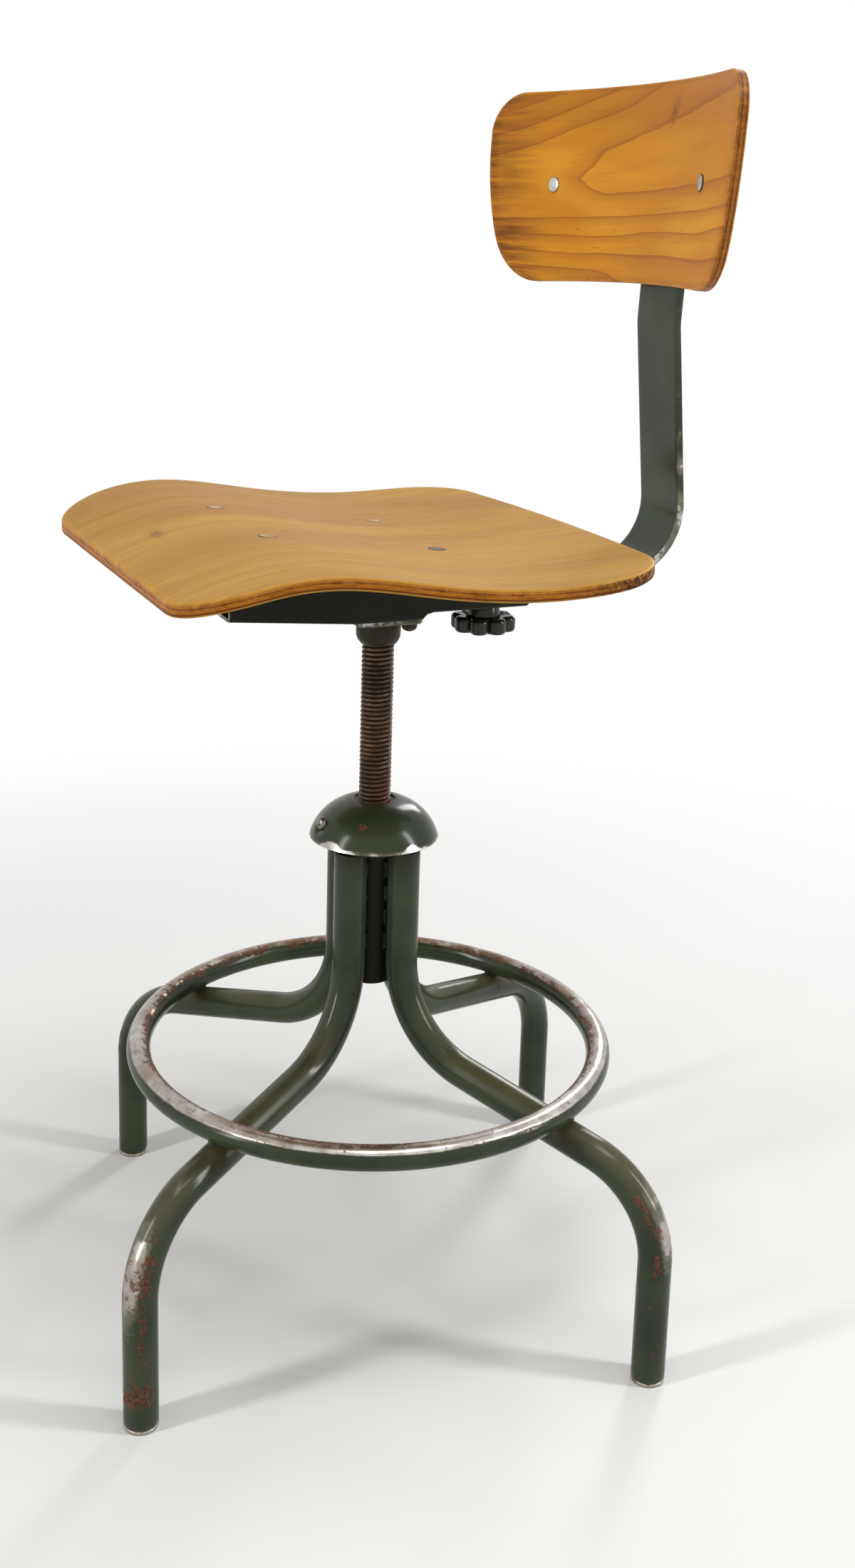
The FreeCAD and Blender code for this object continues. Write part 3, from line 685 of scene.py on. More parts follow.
@dataclass(frozen=True)
class Ply(Finish):
    """Varnished moulded plywood: face veneer, coloured plies on the edge, worn varnish and a
    painted highlight along the rim.

    Args:
        grain: The way the face grain runs.
        pale: Light wood under the varnish.
        deep: Dark wood under the varnish.
        plies: Number of plies seen on the edge.
        gloss: Strength of the varnish's reflection, where 0.5 is that of glass.
    """

    slot: str = "seat_ply"
    grain: Grain = Grain.FRONT_TO_BACK
    pale: Colour = tone(177, 133, 54)
    deep: Colour = tone(152, 108, 38)
    plies: int = 5
    gloss: float = 0.07

    def stretch(self, along: float, across: float) -> tuple:
        """Noise scales by axis for marks that run with the grain."""
        if self.grain is Grain.FRONT_TO_BACK:
            return across, along, along
        return along, along, across

    def face(self, graph: Graph) -> Socket:
        """The face veneer's colour."""
        broad = graph.cloud(0.3, 0.7, 1, 4, 0.5, self.stretch(2.2, 14), 0.6)
        colour = graph.coat(self.pale, self.deep, broad, 0.8)
        band = graph.cloud(0.45, 0.7, 1, 5, 0.6, self.stretch(4, 70), 0.3, 2.4)
        colour = graph.coat(colour, SEAT_BAND, band, 0.3)
        fibre = graph.cloud(0.45, 0.75, 1, 6, 0.62, self.stretch(9, 420), 0.15)
        colour = graph.coat(colour, SEAT_FIBRE, fibre, 0.5)
        pore = graph.cloud(0.66, 0.76, 1, 3, 0.5, self.stretch(34, 900), shift=3.1)
        return graph.coat(colour, SEAT_PORE, pore, 0.4)

    def edge(self, graph: Graph, depth: Socket) -> Socket:
        """The cut plies: two woods by turns, with dark glue lines and darker spots."""
        layer = graph.total(depth, graph.product(graph.noise(60, 3), 0.02))
        layer = graph.product(layer, float(self.plies))
        inside = graph.calc("FRACT", layer)
        line = graph.total(graph.ramp(inside, 0.12, 0.0), graph.ramp(inside, 0.88, 1.0))
        odd = graph.ramp(graph.calc("PINGPONG", layer, 1.0), 0.4, 0.6)
        colour = graph.blend(odd, *EDGE_PLIES)
        spots = graph.cloud(0.42, 0.72, 80, 6, 0.65, stretch=(1, 1, 6))
        colour = graph.coat(colour, EDGE_SPOT, spots, 0.6)
        return graph.coat(colour, GLUE_LINE, line, 0.9)

    def shade(self, graph: Graph) -> bpy.types.Material:
        """Face, edge plies by the depth field, rim wear with a painted highlight, and scratches
        under a varnish coat.
        """
        depth = graph.field("depth")
        face = graph.coat(self.face(graph), SCAR_BROWN, graph.field("scar"),
                          graph.cloud(0.35, 0.6, 500, 5))
        side = graph.calc("MINIMUM", graph.ramp(depth, 0.1, 0.2), graph.ramp(depth, 0.9, 0.8))
        colour = graph.blend(side, face, self.edge(graph, depth))
        # The pale line on the rounded rim is wear and a painted highlight.
        colour = graph.coat(colour, RUBBED_WOOD_AND_HIGHLIGHT, graph.field("rim"),
                            graph.cloud(0.32, 0.6, 120, 6, shift=1.3), 0.4)
        colour = graph.coat(colour, CHAR, graph.field("char"),
                            graph.cloud(0.34, 0.6, 240, 6, 0.7))
        normal = graph.bump(graph.noise(1, 5, 0.6, self.stretch(9, 420), 0.15), 0.05)
        normal = graph.bump(graph.noise(26, 3), 0.25, normal)
        rough = graph.mix(graph.noise(70, 5), 0.36, 0.54)
        return graph.close(Base_Color=colour, Roughness=rough, Normal=normal,
                           Specular_IOR_Level=self.gloss)


@dataclass(frozen=True)
class FiguredPly(Ply):
    """Plywood whose face veneer shows the pointed arches of a flat-sawn board."""

    slot: str = "back_ply"
    grain: Grain = Grain.ACROSS
    pale: Colour = tone(210, 144, 36)
    deep: Colour = tone(192, 124, 26)
    gloss: float = 0.16

    def face(self, graph: Graph) -> Socket:
        """Growth rings from the figure field, with scorched streaks from the scorch field."""
        figure = graph.total(graph.field("figure"),
                             graph.product(graph.noise(1, 4, 0.6, self.stretch(14, 70)), 0.2),
                             graph.product(graph.noise(1, 3, 0.6, self.stretch(40, 420)), 0.07))
        ring = graph.calc("FRACT", figure)
        fall = graph.ramp(ring, 1.0, 0.985)
        broad = graph.cloud(0.3, 0.7, 1, 4, 0.5, self.stretch(5, 22), 0.5)
        colour = graph.blend(broad, self.pale, self.deep)
        # Darker towards the top and at both ends of the backrest.
        colour = graph.coat(colour, TOP_AND_END_DARK, graph.field("tint"), 0.6)
        colour = graph.coat(colour, RING_SHADE, graph.ramp(ring, 0.35, 0.95), fall, 0.46)
        colour = graph.coat(colour, RING_LINE, graph.ramp(ring, 0.84, 0.97), fall, 0.36)
        fibre = graph.cloud(0.5, 0.78, 1, 6, 0.65, self.stretch(14, 520), 0.1)
        colour = graph.coat(colour, BACK_FIBRE, fibre, 0.3)
        dash = graph.cloud(0.68, 0.76, 1, 3, 0.5, self.stretch(60, 700), shift=1.9)
        colour = graph.coat(colour, BACK_DASH, dash, 0.5)
        streak = graph.cloud(0.36, 0.62, 1, 6, 0.62, self.stretch(12, 170), shift=5.2)
        return graph.coat(colour, SCORCH, graph.field("scorch"),
                          graph.total(graph.product(streak, 0.75), 0.12))


PAINT = Paint()
CAST_PAINT = Paint(kind="_cast", base=tone(36, 35, 24), light=tone(50, 48, 34), rough=0.32,
                   cast=0.25, gloss=0.15)
# A darker copy of the machine paint: painted shade on the column and its welds between the legs,
# under the dome.
SHADED_COLUMN_PAINT = Paint(kind="_column", base=tone(24, 28, 20), light=tone(36, 40, 28), rough=0.24,
                     gloss=0.1)
DARK_PAINT = Paint(slot="dark_paint", base=tone(20, 24, 17), light=tone(30, 33, 24), rough=0.26,
                   gloss=0.1)
KNOB_PAINT = Paint(slot="dark_paint", kind="_knob", base=tone(28, 31, 23),
                   light=tone(40, 42, 32), rough=0.16, gloss=0.3)
FOOT_STEEL = BareSteel(slot="foot_steel", base=tone(176, 170, 158), stain=tone(122, 96, 74),
                       rough=0.4)
SCREW_STEEL = RustyScrew()
BRIGHT_STEEL = BareSteel()
DULL_STEEL = BareSteel(kind="_dull", base=tone(128, 124, 112), stain=tone(66, 60, 48), rough=0.3)
FLUSH_STEEL = BareSteel(kind="_flush", base=tone(176, 142, 92), stain=tone(140, 108, 66),
                        rough=0.42)
SEAT_PLY = Ply()
BACK_PLY = FiguredPly()


# Sub-assemblies


@dataclass(frozen=True)
class Base:
    """Four bent legs, their foot ring, the column and the dome over the casting."""

    leg_radius: float = 12.7
    leg_bore: float = 10.9
    leg_angle: float = 31.34
    leg_line: tuple = ((29.7, 364.0), (29.7, 208.48), (265.6, 153.58), (265.6, 2.6))
    leg_bends: tuple = (80.0, 70.8)
    ring_radius: float = 184.8
    ring_height: float = 195.1
    ring_tube: float = 9.4
    column_radius: float = 16.9
    column_bore: float = 14.2
    column_bottom: float = 249.5
    column_top: float = 364.0
    dome_radius: float = 50.9
    dome_bottom: float = 370.0
    dome_shoulder: tuple = (39.6, 388.6)
    dome_crown: tuple = (16.0, 399.8)
    dome_sheet: float = 1.6
    screw_angle: float = 272.0
    screw_height: float = 384.0
    screw_stand: float = 44.6
    plug_rim: float = 2.5
    plug_radius: float = 10.5
    plug_top: float = 9.0
    weld_ends: tuple = (173.0, 193.0)
    bead_out: float = 17.1
    bead_side: float = 5.4
    bead_radius: float = 2.1
    bead_bottom: float = 279.0
    bead_length: float = 14.0
    bead_step: float = 20.0

    def build(self) -> None:
        """Makes every visible piece of the base."""
        for quarter in range(4):
            self.leg(quarter)
        self.foot_caps()
        self.foot_ring()
        self.ring_welds()
        self.column()
        self.column_welds()
        self.dome()
        self.dome_screw()

    @staticmethod
    def level_axes(degrees: float) -> tuple[Array, Array]:
        """The outward direction at a bearing and the level direction square to it."""
        angle = math.radians(degrees)
        out = np.array([math.cos(angle), math.sin(angle), 0.0])
        return out, np.array([-out[1], out[0], 0.0])

    def direction(self, quarter: int) -> tuple[Array, Array]:
        """A leg's outward direction and the level direction square to it."""
        return self.level_axes(self.leg_angle + 90 * quarter)

    def leg(self, quarter: int) -> None:
        """A round tube carried along its bent centre line, its ends turned inwards."""
        out, side = self.direction(quarter)
        path = rounded_line(list(self.leg_line), list(self.leg_bends), 5.0, 2.2)
        bore, full = self.leg_bore, self.leg_radius
        inset_top = np.array([(12, 0), (12, bore), (0, bore), (0, full - 1.2),
                              (0.36, full - 0.36), (1.2, full)])
        inset_foot = np.array([(1.2, full), (0.3, full - 0.5), (0, full - 1.2), (8, 0.02), (8, 0)])
        flat = np.concatenate([path[:1] - inset_top[:, :1] * [0, 1], path[1:-1],
                               path[-1:] + inset_foot[:, :1] * [0, 1]])
        radius = np.concatenate([inset_top[:, 1], np.full(len(path) - 2, full), inset_foot[:, 1]])
        heading = self.headings(flat, path)
        line = flat[:, :1] * out + flat[:, 1:] * UP
        up = np.cross(side[None], heading[:, :1] * out + heading[:, 1:] * UP)
        turn = circle(48)
        spokes = turn[None, :, :1] * side + turn[None, :, 1:] * up[:, None]
        points = line[:, None] + radius[:, None, None] * spokes
        height, upward = points[..., 2], spokes[..., 2]
        convex = np.broadcast_to(-turn[None, :, 1], height.shape)
        bend = smoothstep(48, 105, height) * smoothstep(172, 146, height)
        patch = value_noise(points, 30, quarter)
        speckle = value_noise(points, 7, quarter + 10)
        near = 1.0 if quarter in (0, 3) else 0.6
        wear = near * bend * smoothstep(0.5, 1.0, convex) * (0.22 + 0.62 * patch)
        wear = wear + 0.3 * smoothstep(7, 3, height)
        shin = smoothstep(165, 120, height) * smoothstep(-0.2, 0.5, convex)
        band = bell(height, 27, 9) * (0.7 if quarter == 3 else 0.2) * (0.3 + speckle)
        reach = np.abs(np.linalg.norm(points[..., :2], axis=-1) - self.ring_radius)
        joint = smoothstep(26, 8, reach) * smoothstep(-0.3, 0.6, upward)
        rust = bell(convex, 0.6, 0.28) * bend * (0.2 + 0.6 * speckle) + band
        rust = rust + 0.4 * smoothstep(12, 3, height) + 0.45 * joint
        rust = rust + shin * 0.5 * speckle * patch + 0.35 * patch * speckle
        stain = 0.25 + bend * smoothstep(1.0, 0.6, convex) + 0.3 * patch
        # The darkening at the leg's top, just under the dome, is painted shadow of the dome; at the
        # ring joint it is dirt.
        grime = 0.9 * joint + 0.9 * smoothstep(346, 364, height)
        # Upward faces get dust and a painted sheen of the light from above.
        dust = smoothstep(0.1, 0.9, upward) * smoothstep(120, 160, height)
        mesh = PieceMesh().grid(points, wear=wear, rust=rust, grime=grime, stain=stain, dust=dust)
        mesh.build(f"tube_leg_{quarter + 1}", PAINT, "base", f"leg_{quarter + 1}")

    @staticmethod
    def headings(flat: Array, path: Array) -> Array:
        """The leg's heading at each station, from the clean path nearest to it."""
        steps = unit(np.diff(path, axis=0))
        steps = unit(np.concatenate([steps[:1], steps[1:] + steps[:-1], steps[-1:]]))
        nearest = np.linalg.norm(flat[:, None] - path[None], axis=-1).argmin(axis=1)
        return steps[nearest]

    def foot_caps(self) -> None:
        """Turned steel plugs that close the feet."""
        mesh = PieceMesh()
        rim, plug, top = self.leg_radius, self.plug_radius, self.plug_top
        profile = eased([(0, 0), (rim, 0), (rim, self.plug_rim), (plug, self.plug_rim),
                         (plug, top), (0, top)], 0.9)
        for quarter in range(4):
            centre = self.direction(quarter)[0][:2] * self.leg_line[-1][0]
            mesh.grid(lathe(profile, 48, tuple(centre)), rust=0.5)
        mesh.build("foot_plugs", FOOT_STEEL, "base", "foot_caps")

    def foot_ring(self) -> None:
        """A round tube carried round a level circle, rubbed on top by shoes."""
        turn = np.linspace(0, 2 * np.pi, 321)
        section = np.linspace(0, 2 * np.pi, 41)
        around, about = np.meshgrid(turn, section, indexing="ij")
        reach = self.ring_radius + self.ring_tube * np.cos(about)
        points = np.stack([reach * np.cos(around), reach * np.sin(around),
                           self.ring_height + self.ring_tube * np.sin(about)], axis=-1)
        inward = (about + np.pi / 2) % (2 * np.pi) - np.pi
        patch = value_noise(points, 40, 5)
        blotch = value_noise(points, 11, 9)

        def near(centre: float, width: float) -> Array:
            """1 where the ring faces a bearing, fading over a width in degrees."""
            return bell((np.degrees(around) - centre + 180) % 360 - 180, 0, width)

        wear = 0.74 + 0.26 * near(337, 95)
        wear = wear * smoothstep(1.1, 0.5, np.abs(inward + 0.1)) * (0.62 + 0.42 * patch)
        border = bell(inward, 0.62, 0.36)
        rust = border * (0.25 + 0.6 * blotch) * (0.8 + 0.4 * near(275, 45))
        hollow = smoothstep(-0.6, 0.3, inward) * smoothstep(1.4, 0.8, inward)
        rust = rust + 0.5 * near(330, 26) * hollow
        rust = rust + 0.12 + 0.4 * blotch * smoothstep(1.3, 0.9, np.abs(inward))
        stain = near(333, 32) * smoothstep(-0.35, 0.25, inward) + 0.85 * near(150, 85)
        stain = np.clip(stain + 0.5 * border + 0.42 * near(285, 60), 0, 1)
        mesh = PieceMesh().grid(points, wear=wear, rust=rust, stain=stain)
        mesh.build("tube_ring", PAINT, "base", "foot_ring")

    def ring_welds(self) -> None:
        """Waisted, rippled posts of weld metal between the ring and each leg."""
        mesh = PieceMesh()
        low, high = self.weld_ends
        height = np.linspace(low, high, 21)
        turn = np.linspace(0, 2 * np.pi, 49)
        rise, around = np.meshgrid(height, turn, indexing="ij")
        waist = 6.1 + 1.3 * ((rise - (low + high) / 2) / ((high - low) / 2)) ** 2
        radius = waist + 0.28 * np.sin(9 * around + rise * 0.8) + 0.2 * np.sin(rise * 1.9)
        radius[0], radius[-1] = 0.0, 0.0
        radius[1], radius[-2] = 6.6, 6.6
        spokes = np.stack([radius * np.cos(around), radius * np.sin(around), rise], axis=-1)
        for quarter in range(4):
            centre = self.direction(quarter)[0] * self.ring_radius
            mesh.grid(spokes + centre, rust=0.5, grime=0.6, wear=0.1)
        mesh.build("ring_weld_posts", PAINT, "base", "ring_welds")

    def column(self) -> None:
        """The central tube with a rounded lower mouth."""
        bore, full = self.column_bore, self.column_radius
        low, high = self.column_bottom, self.column_top
        profile = eased([(0, low + 16), (bore, low + 16), (bore, low), (full, low), (full, high),
                         (bore, high), (bore, high - 20), (0, high - 20)], 1.2)
        middle = np.abs(profile[:, 0] - full) < 1e-6
        start = np.flatnonzero(middle & (profile[:, 1] < low + 3))[0]
        end = np.flatnonzero(middle & (profile[:, 1] > high - 3))[-1]
        wall = np.stack([np.full(40, full), np.linspace(low + 3, high - 3, 40)], axis=-1)
        profile = np.concatenate([profile[:start + 1], wall, profile[end:]])
        points = lathe(profile, 64)
        bearing = np.arctan2(points[..., 1], points[..., 0])
        streak = bell(bearing, -0.22, 0.12) * smoothstep(250, 300, points[..., 2])
        rust = 0.35 * streak + 0.5 * smoothstep(262, 250, points[..., 2])
        # An even darkening of 0.6 over the whole column: partly grime, partly painted shade.
        mesh = PieceMesh().grid(points, rust=rust, grime=0.6)
        mesh.build("column_tube_skin", SHADED_COLUMN_PAINT, "base", "column_tube")

    def column_welds(self) -> None:
        """Beads of weld metal in short dashes, between the column and each leg."""
        mesh = PieceMesh()
        rows = 29
        fade = self.bead_radius * np.sqrt(np.clip(1 - np.linspace(-1, 1, rows) ** 8, 0, 1))
        for quarter in range(4):
            out, side = self.direction(quarter)
            for hand in (-1.0, 1.0):
                for start in self.bead_bottom + self.bead_step * np.arange(4):
                    height = np.linspace(start, start + self.bead_length, rows)
                    radius = fade * (1 + 0.14 * np.sin(height * 2.2))
                    line = out * self.bead_out + side * hand * self.bead_side
                    line = line + height[:, None] * UP
                    profile = circle(12)[None] * radius[:, None, None]
                    mesh.grid(sweep(line, side, profile), wear=0.3, grime=0.3, rust=0.3)
        mesh.build("column_weld_beads", SHADED_COLUMN_PAINT, "base", "column_welds", sharp=70)

    def dome(self) -> None:
        """A pressed cap: an arc turned about the screw, with its inner face and rolled rims."""
        rim = np.array([self.dome_radius, self.dome_bottom])
        outer = self.arc_through(rim, np.array(self.dome_shoulder), np.array(self.dome_crown), 56)
        inner = outer + leftward(unit(np.gradient(outer, axis=0))) * self.dome_sheet
        inner[:, 1] = np.clip(inner[:, 1], self.dome_bottom, None)
        roll = np.linspace(0, np.pi, 7)[1:-1]
        middle, arm = (outer[0] + inner[0]) / 2, (outer[0] - inner[0]) / 2
        lower = middle + np.stack([arm[0] * np.cos(roll), -0.5 * np.sin(roll) + 0.5], axis=-1)
        middle, arm = (outer[-1] + inner[-1]) / 2, (outer[-1] - inner[-1]) / 2
        upper = middle + np.stack([-0.45 * np.sin(roll) + 0.3, -arm[1] * np.cos(roll)], axis=-1)
        profile = np.concatenate([outer[::-1], lower, inner, upper, outer[-1:]])
        points = lathe(profile, 224)
        out, _ = self.level_axes(self.screw_angle)
        axis = out * self.screw_stand + UP * self.screw_height
        reach = points - axis
        along = reach @ out
        away = np.linalg.norm(reach - along[..., None] * out, axis=-1)
        pressed = smoothstep(8.6, 5.4, away) * (np.abs(along) < 14)
        skin = np.where(np.arange(len(profile)) < len(outer), 0.0, -self.dome_sheet)[:, None]
        push = np.where(along > skin - 0.05, along - skin + 0.05, 0.0)
        points = points - out * (pressed * push)[..., None]
        height = points[..., 2]
        radius = np.linalg.norm(points[..., :2], axis=-1)
        bearing = np.degrees(np.arctan2(points[..., 1], points[..., 0])) % 360
        edge = smoothstep(self.dome_bottom + 5.5, self.dome_bottom + 0.5, height)
        patch = value_noise(points, 9, 3)
        # Bright bare patches at the rim, either side of the camera's bearing: chips, and painted
        # highlights where the lamps catch the rim.
        chips_and_highlights = bell(bearing, 297, 9) + bell(bearing, 14, 6)
        wear = edge * (0.25 + 0.35 * patch) + 0.8 * chips_and_highlights * smoothstep(379, 373, height)
        stain = smoothstep(31, 19, radius + 6 * patch) * (0.6 + 0.5 * (points[..., 1] > 0))
        rust = 0.3 * stain + 0.25 * edge + 1.2 * bell(bearing, 326, 6) * bell(height, 388.5, 2.2)
        mesh = PieceMesh().grid(points, wear=wear, rust=rust, grime=0.8 * stain)
        mesh.build("dome_shell", PAINT, "base", "dome_cap")

    @staticmethod
    def arc_through(start: Array, through: Array, end: Array, count: int) -> Array:
        """Points on the circle through three points: its centre is as far from each of them."""
        rows = 2 * np.array([through - start, end - start])
        squares = np.array([through @ through - start @ start, end @ end - start @ start])
        centre = np.linalg.solve(rows, squares)
        angles = [math.atan2(*(point - centre)[::-1]) for point in (start, through, end)]
        spread = np.linspace(angles[0], angles[2], count)
        heading = np.stack([np.cos(spread), np.sin(spread)], axis=-1)
        return centre + np.linalg.norm(start - centre) * heading

    def dome_screw(self) -> None:
        """A round head with a cross recess: two crossing grooves fade out towards the rim."""
        out, side = self.level_axes(self.screw_angle)
        rise, reach = 3.2, 5.2
        shoulder = 0.9 + 0.1 * np.sin(np.linspace(0, np.pi / 2, 8))[1:]
        ring = np.concatenate([np.linspace(0, 0.9, 26), shoulder])
        turn = np.linspace(0, 2 * np.pi, 65)
        share, around = np.meshgrid(ring, turn, indexing="ij")
        first, second = share * reach * np.cos(around), share * reach * np.sin(around)
        arm = np.maximum(smoothstep(0.85, 0.45, np.abs(first)),
                         smoothstep(0.85, 0.45, np.abs(second)))
        height = rise * np.sqrt(np.clip(1 - share ** 2.6, 0, 1))
        height = height - 1.5 * arm * smoothstep(3.6, 1.6, share * reach)
        axis = out * self.screw_stand + UP * self.screw_height
        level = axis + first[..., None] * side + second[..., None] * UP
        points = np.concatenate([level + height[..., None] * out, level[::-1] - 1.2 * out])
        mesh = PieceMesh().grid(points, rust=0.2)
        mesh.build("cross_head_screw", DULL_STEEL, "base", "dome_screw")


@dataclass(frozen=True)
class LiftingScrew:
    """The threaded screw that carries the seat."""

    crest_radius: float = 12.5
    thread_depth: float = 1.75
    pitch: float = 25.4 / 7
    bottom: float = 266.0
    top: float = 545.4
    journal_radius: float = 8.0
    journal_bottom: float = 251.5
    sides: int = 44

    def build(self) -> None:
        """A thread profile carried up a helix, over a plain core and its journal."""
        turns = int((self.top - self.bottom) / self.pitch) - 1
        flank = np.array([0.0, 0.1, 0.38, 0.46, 0.5, 0.74, 0.78, 0.86, 1.0])
        lift = np.array([0.0, 0.0, 0.86, 0.97, 1.0, 1.0, 0.97, 0.86, 0.0])
        angle = np.linspace(0, 2 * np.pi * turns, turns * self.sides + 1)
        around, share = np.meshgrid(angle, flank, indexing="ij")
        lift = np.broadcast_to(lift, around.shape)
        turned = around / (2 * np.pi)
        height = self.bottom + self.pitch * (turned + share)
        fade = smoothstep(0, 3, turned) * smoothstep(turns, turns - 1, turned)
        heading = np.stack([np.cos(around), np.sin(around)], axis=-1)
        nick = smoothstep(0.62, 0.8, value_noise(upright_points(heading * 12, height), 3.1, 4))
        root = self.crest_radius - self.thread_depth
        radius = root + (self.thread_depth * fade - 0.22 * nick) * lift
        mesh = PieceMesh().grid(upright_points(heading * radius[..., None], height), crest=lift)
        core = root - 0.04
        profile = eased([(0, self.journal_bottom), (self.journal_radius, self.journal_bottom),
                         (self.journal_radius, self.bottom), (core, self.bottom),
                         (core, self.top), (0, self.top)], 0.6)
        mesh.grid(lathe(profile, 48), crest=0.1)
        mesh.build("threaded_screw", SCREW_STEEL, "seat", "seat_screw", sharp=60)


@dataclass(frozen=True)
class Seat:
    """The cast plate on the screw, the pressed channel and the moulded seat panel."""

    stations: tuple = ((-215, 599.7), (-209, 602.62), (-200, 606.61), (-190, 610.52),
                       (-175, 615.48), (-160, 619.42), (-145, 622.34), (-130, 624.14),
                       (-115, 624.7), (-100, 623.97), (-80, 621.51), (-60, 618.24), (-40, 615.03),
                       (-15, 611.69), (10, 609.29), (35, 608.07), (60, 608.25), (85, 609.7),
                       (110, 611.82), (130, 613.6), (150, 615.14))
    ply: float = 9.0
    front: float = -209.0
    rear: float = 140.6
    half: float = 198.9
    bow: float = 14.0
    crown: float = 8.7
    front_corner: float = 57.0
    rear_corner: float = 66.0
    bolt_x: float = 62.0
    bolt_y: tuple = (-111.0, 19.0)
    channel_half: float = 40.0
    sheet: float = 2.5
    channel_ends: tuple = (-132.0, 111.0)
    floor_line: tuple = ((-132.0, 558.0), (-34.0, 550.0), (20.0, 550.0), (23.5, 553.6),
                         (29.0, 555.0), (111.0, 555.0))
    flange_reach: float = 76.0
    flange_corner: float = 12.0
    plate_corners: tuple = ((-34.0, -29.0), (34.0, -29.0), (34.0, 24.0), (-34.0, 24.0))
    plate_top: float = 550.0
    plate_thick: float = 4.5
    plate_bolts: tuple = ((24.5, 15.0), (-24.5, -20.0))

    def top_curve(self) -> np.polynomial.Polynomial:
        """The seat's top face by the distance behind the screw, smooth through the stations."""
        stations = np.array(self.stations)
        return np.polynomial.Polynomial.fit(stations[:, 0], stations[:, 1], 9)

    def under_face(self, y: Array) -> Array:
        """Height of the panel's lower face."""
        curve = self.top_curve()
        return curve(y) - self.ply * np.sqrt(1 + curve.deriv()(y) ** 2)

    def build(self) -> None:
        """Makes every visible piece that turns with the seat."""
        self.panel()
        self.heads()
        self.channel()
        self.casting()
        self.casting_bolts()

    def panel(self) -> None:
        """The saddle-shaped panel: height follows the profile, the edge is cut upright."""
        front_right, front_left = (-self.half, self.front), (self.half, self.front)
        rear_left, rear_right = (self.half, self.rear), (-self.half, self.rear)
        edges = [bowed(front_right, front_left, 0.0), bowed(front_left, rear_left, self.bow),
                 bowed(rear_left, rear_right, self.crown), bowed(rear_right, front_right, self.bow)]
        radii = [self.front_corner, self.rear_corner, self.rear_corner, self.front_corner]
        outline = closed_outline(edges, radii, 420)
        plan, depth, inside = plate_skin(outline, self.ply, 1.6, 64, 10)
        curve = self.top_curve()
        slope = np.sqrt(1 + curve.deriv()(plan[..., 1]) ** 2)
        points = upright_points(plan, curve(plan[..., 1]) - depth[:, None] * slope)
        points[..., 2] += (value_noise(points, 60, 2) - 0.5) * 0.35
        x, y = points[..., 0], points[..., 1]
        # The rim field marks wear and a painted highlight along the rounded top edge.
        rim = smoothstep(3.4, 0.6, inside)[:, None] * (0.5 + 0.5 * value_noise(points, 24, 7))
        rim = rim * (depth < self.ply / 2)[:, None]
        corner = smoothstep(40, 110, y) * smoothstep(100, 165, x)
        side = ((depth > 0.5) & (depth < self.ply - 0.4))[:, None]
        char = side * (corner + 0.3 * smoothstep(0.55, 0.85, value_noise(points, 16, 8)))
        scar = bell(x, -8, 13) * bell(y, -172, 4) * (depth < 0.1)[:, None]
        mesh = PieceMesh().grid(points, depth=(depth / self.ply)[:, None], rim=rim, char=char,
                                scar=scar)
        mesh.build("moulded_seat", SEAT_PLY, "seat", "seat_panel")

    def heads(self) -> None:
        """Flush countersunk heads of the seat bolts, a little sunk and eased at the rim."""
        mesh = PieceMesh()
        curve = self.top_curve()
        profile = eased([(0, -2.8), (4.4, -2.8), (6.9, -0.1), (6.7, 0.16), (5.9, 0.2),
                         (5.3, 0.2), (0, 0.22)], 0.2)
        stained = (self.bolt_x, self.bolt_y[1])
        for x in (-self.bolt_x, self.bolt_x):
            for y in self.bolt_y:
                points = lathe(profile, 40, (x, y))
                away = np.linalg.norm(points[..., :2] - np.array([x, y]), axis=-1)
                points[..., 2] += curve(y) + (points[..., 1] - y) * curve.deriv()(y)
                # The dark ring at each head's rim is painted shadow of the gap round it; one
                # stained head is darker all over.
                dark = smoothstep(5.4, 6.5, away) + (0.75 if (x, y) == stained else 0.0)
                mesh.grid(points, rust=0.3, grime=np.clip(dark, 0, 1))
        mesh.build("flush_bolt_heads", FLUSH_STEEL, "seat", "seat_bolts")

    def channel(self) -> None:
        """A pressed hat section along Y: floor, upright walls, and flanges under the panel."""
        first, last = self.channel_ends
        y = np.unique(np.concatenate([np.linspace(first, last, 90),
                                      [point[0] for point in self.floor_line],
                                      np.linspace(first, first + 14, 12),
                                      np.linspace(last - 14, last, 12)]))
        floor = np.interp(y, *np.array(self.floor_line).T)
        roof = self.under_face(y) - 0.06
        from_end = np.minimum(y - first, last - y)
        reach = self.flange_reach - corner_cut(from_end, self.flange_corner)
        bend, sheet, half = 3.0, self.sheet, self.channel_half
        small = bend - sheet
        corner = np.linspace(0, np.pi / 2, 5)
        rows = [(x, floor, x, floor + sheet) for x in np.linspace(0, half - bend, 6)]
        for sin, cos in zip(np.sin(corner[1:]), np.cos(corner[1:])):
            rows.append((half - bend + bend * sin, floor + bend - bend * cos,
                         half - bend + small * sin, floor + bend - small * cos))
        for sin, cos in zip(np.sin(corner[::-1]), np.cos(corner[::-1])):
            rows.append((half + small - small * sin, roof - bend + small * cos,
                         half + small - bend * sin, roof - bend + bend * cos))
        for share in np.linspace(0, 1, 8)[1:]:
            x = half + small + (reach - half - small) * share
            rows.append((x, roof - sheet, x, roof))
        outer_x, outer_z, inner_x, inner_z = ([np.broadcast_to(value, y.shape) for value in values]
                                              for values in zip(*rows))
        loop_x = np.stack(outer_x + inner_x[::-1], axis=-1)
        loop_z = np.stack(outer_z + inner_z[::-1], axis=-1)
        along = np.broadcast_to(y[:, None], loop_x.shape)
        curl = np.clip(3.5 - (last - along), 0, None) * (np.abs(loop_z - floor[:, None]) < 6)
        right = np.stack([loop_x, along, loop_z + curl], axis=-1)
        end = smoothstep(2.2, 0.2, from_end)[:, None]
        end = end + smoothstep(1.8, 0.2, np.abs(loop_x - reach[:, None]))
        mesh = PieceMesh()
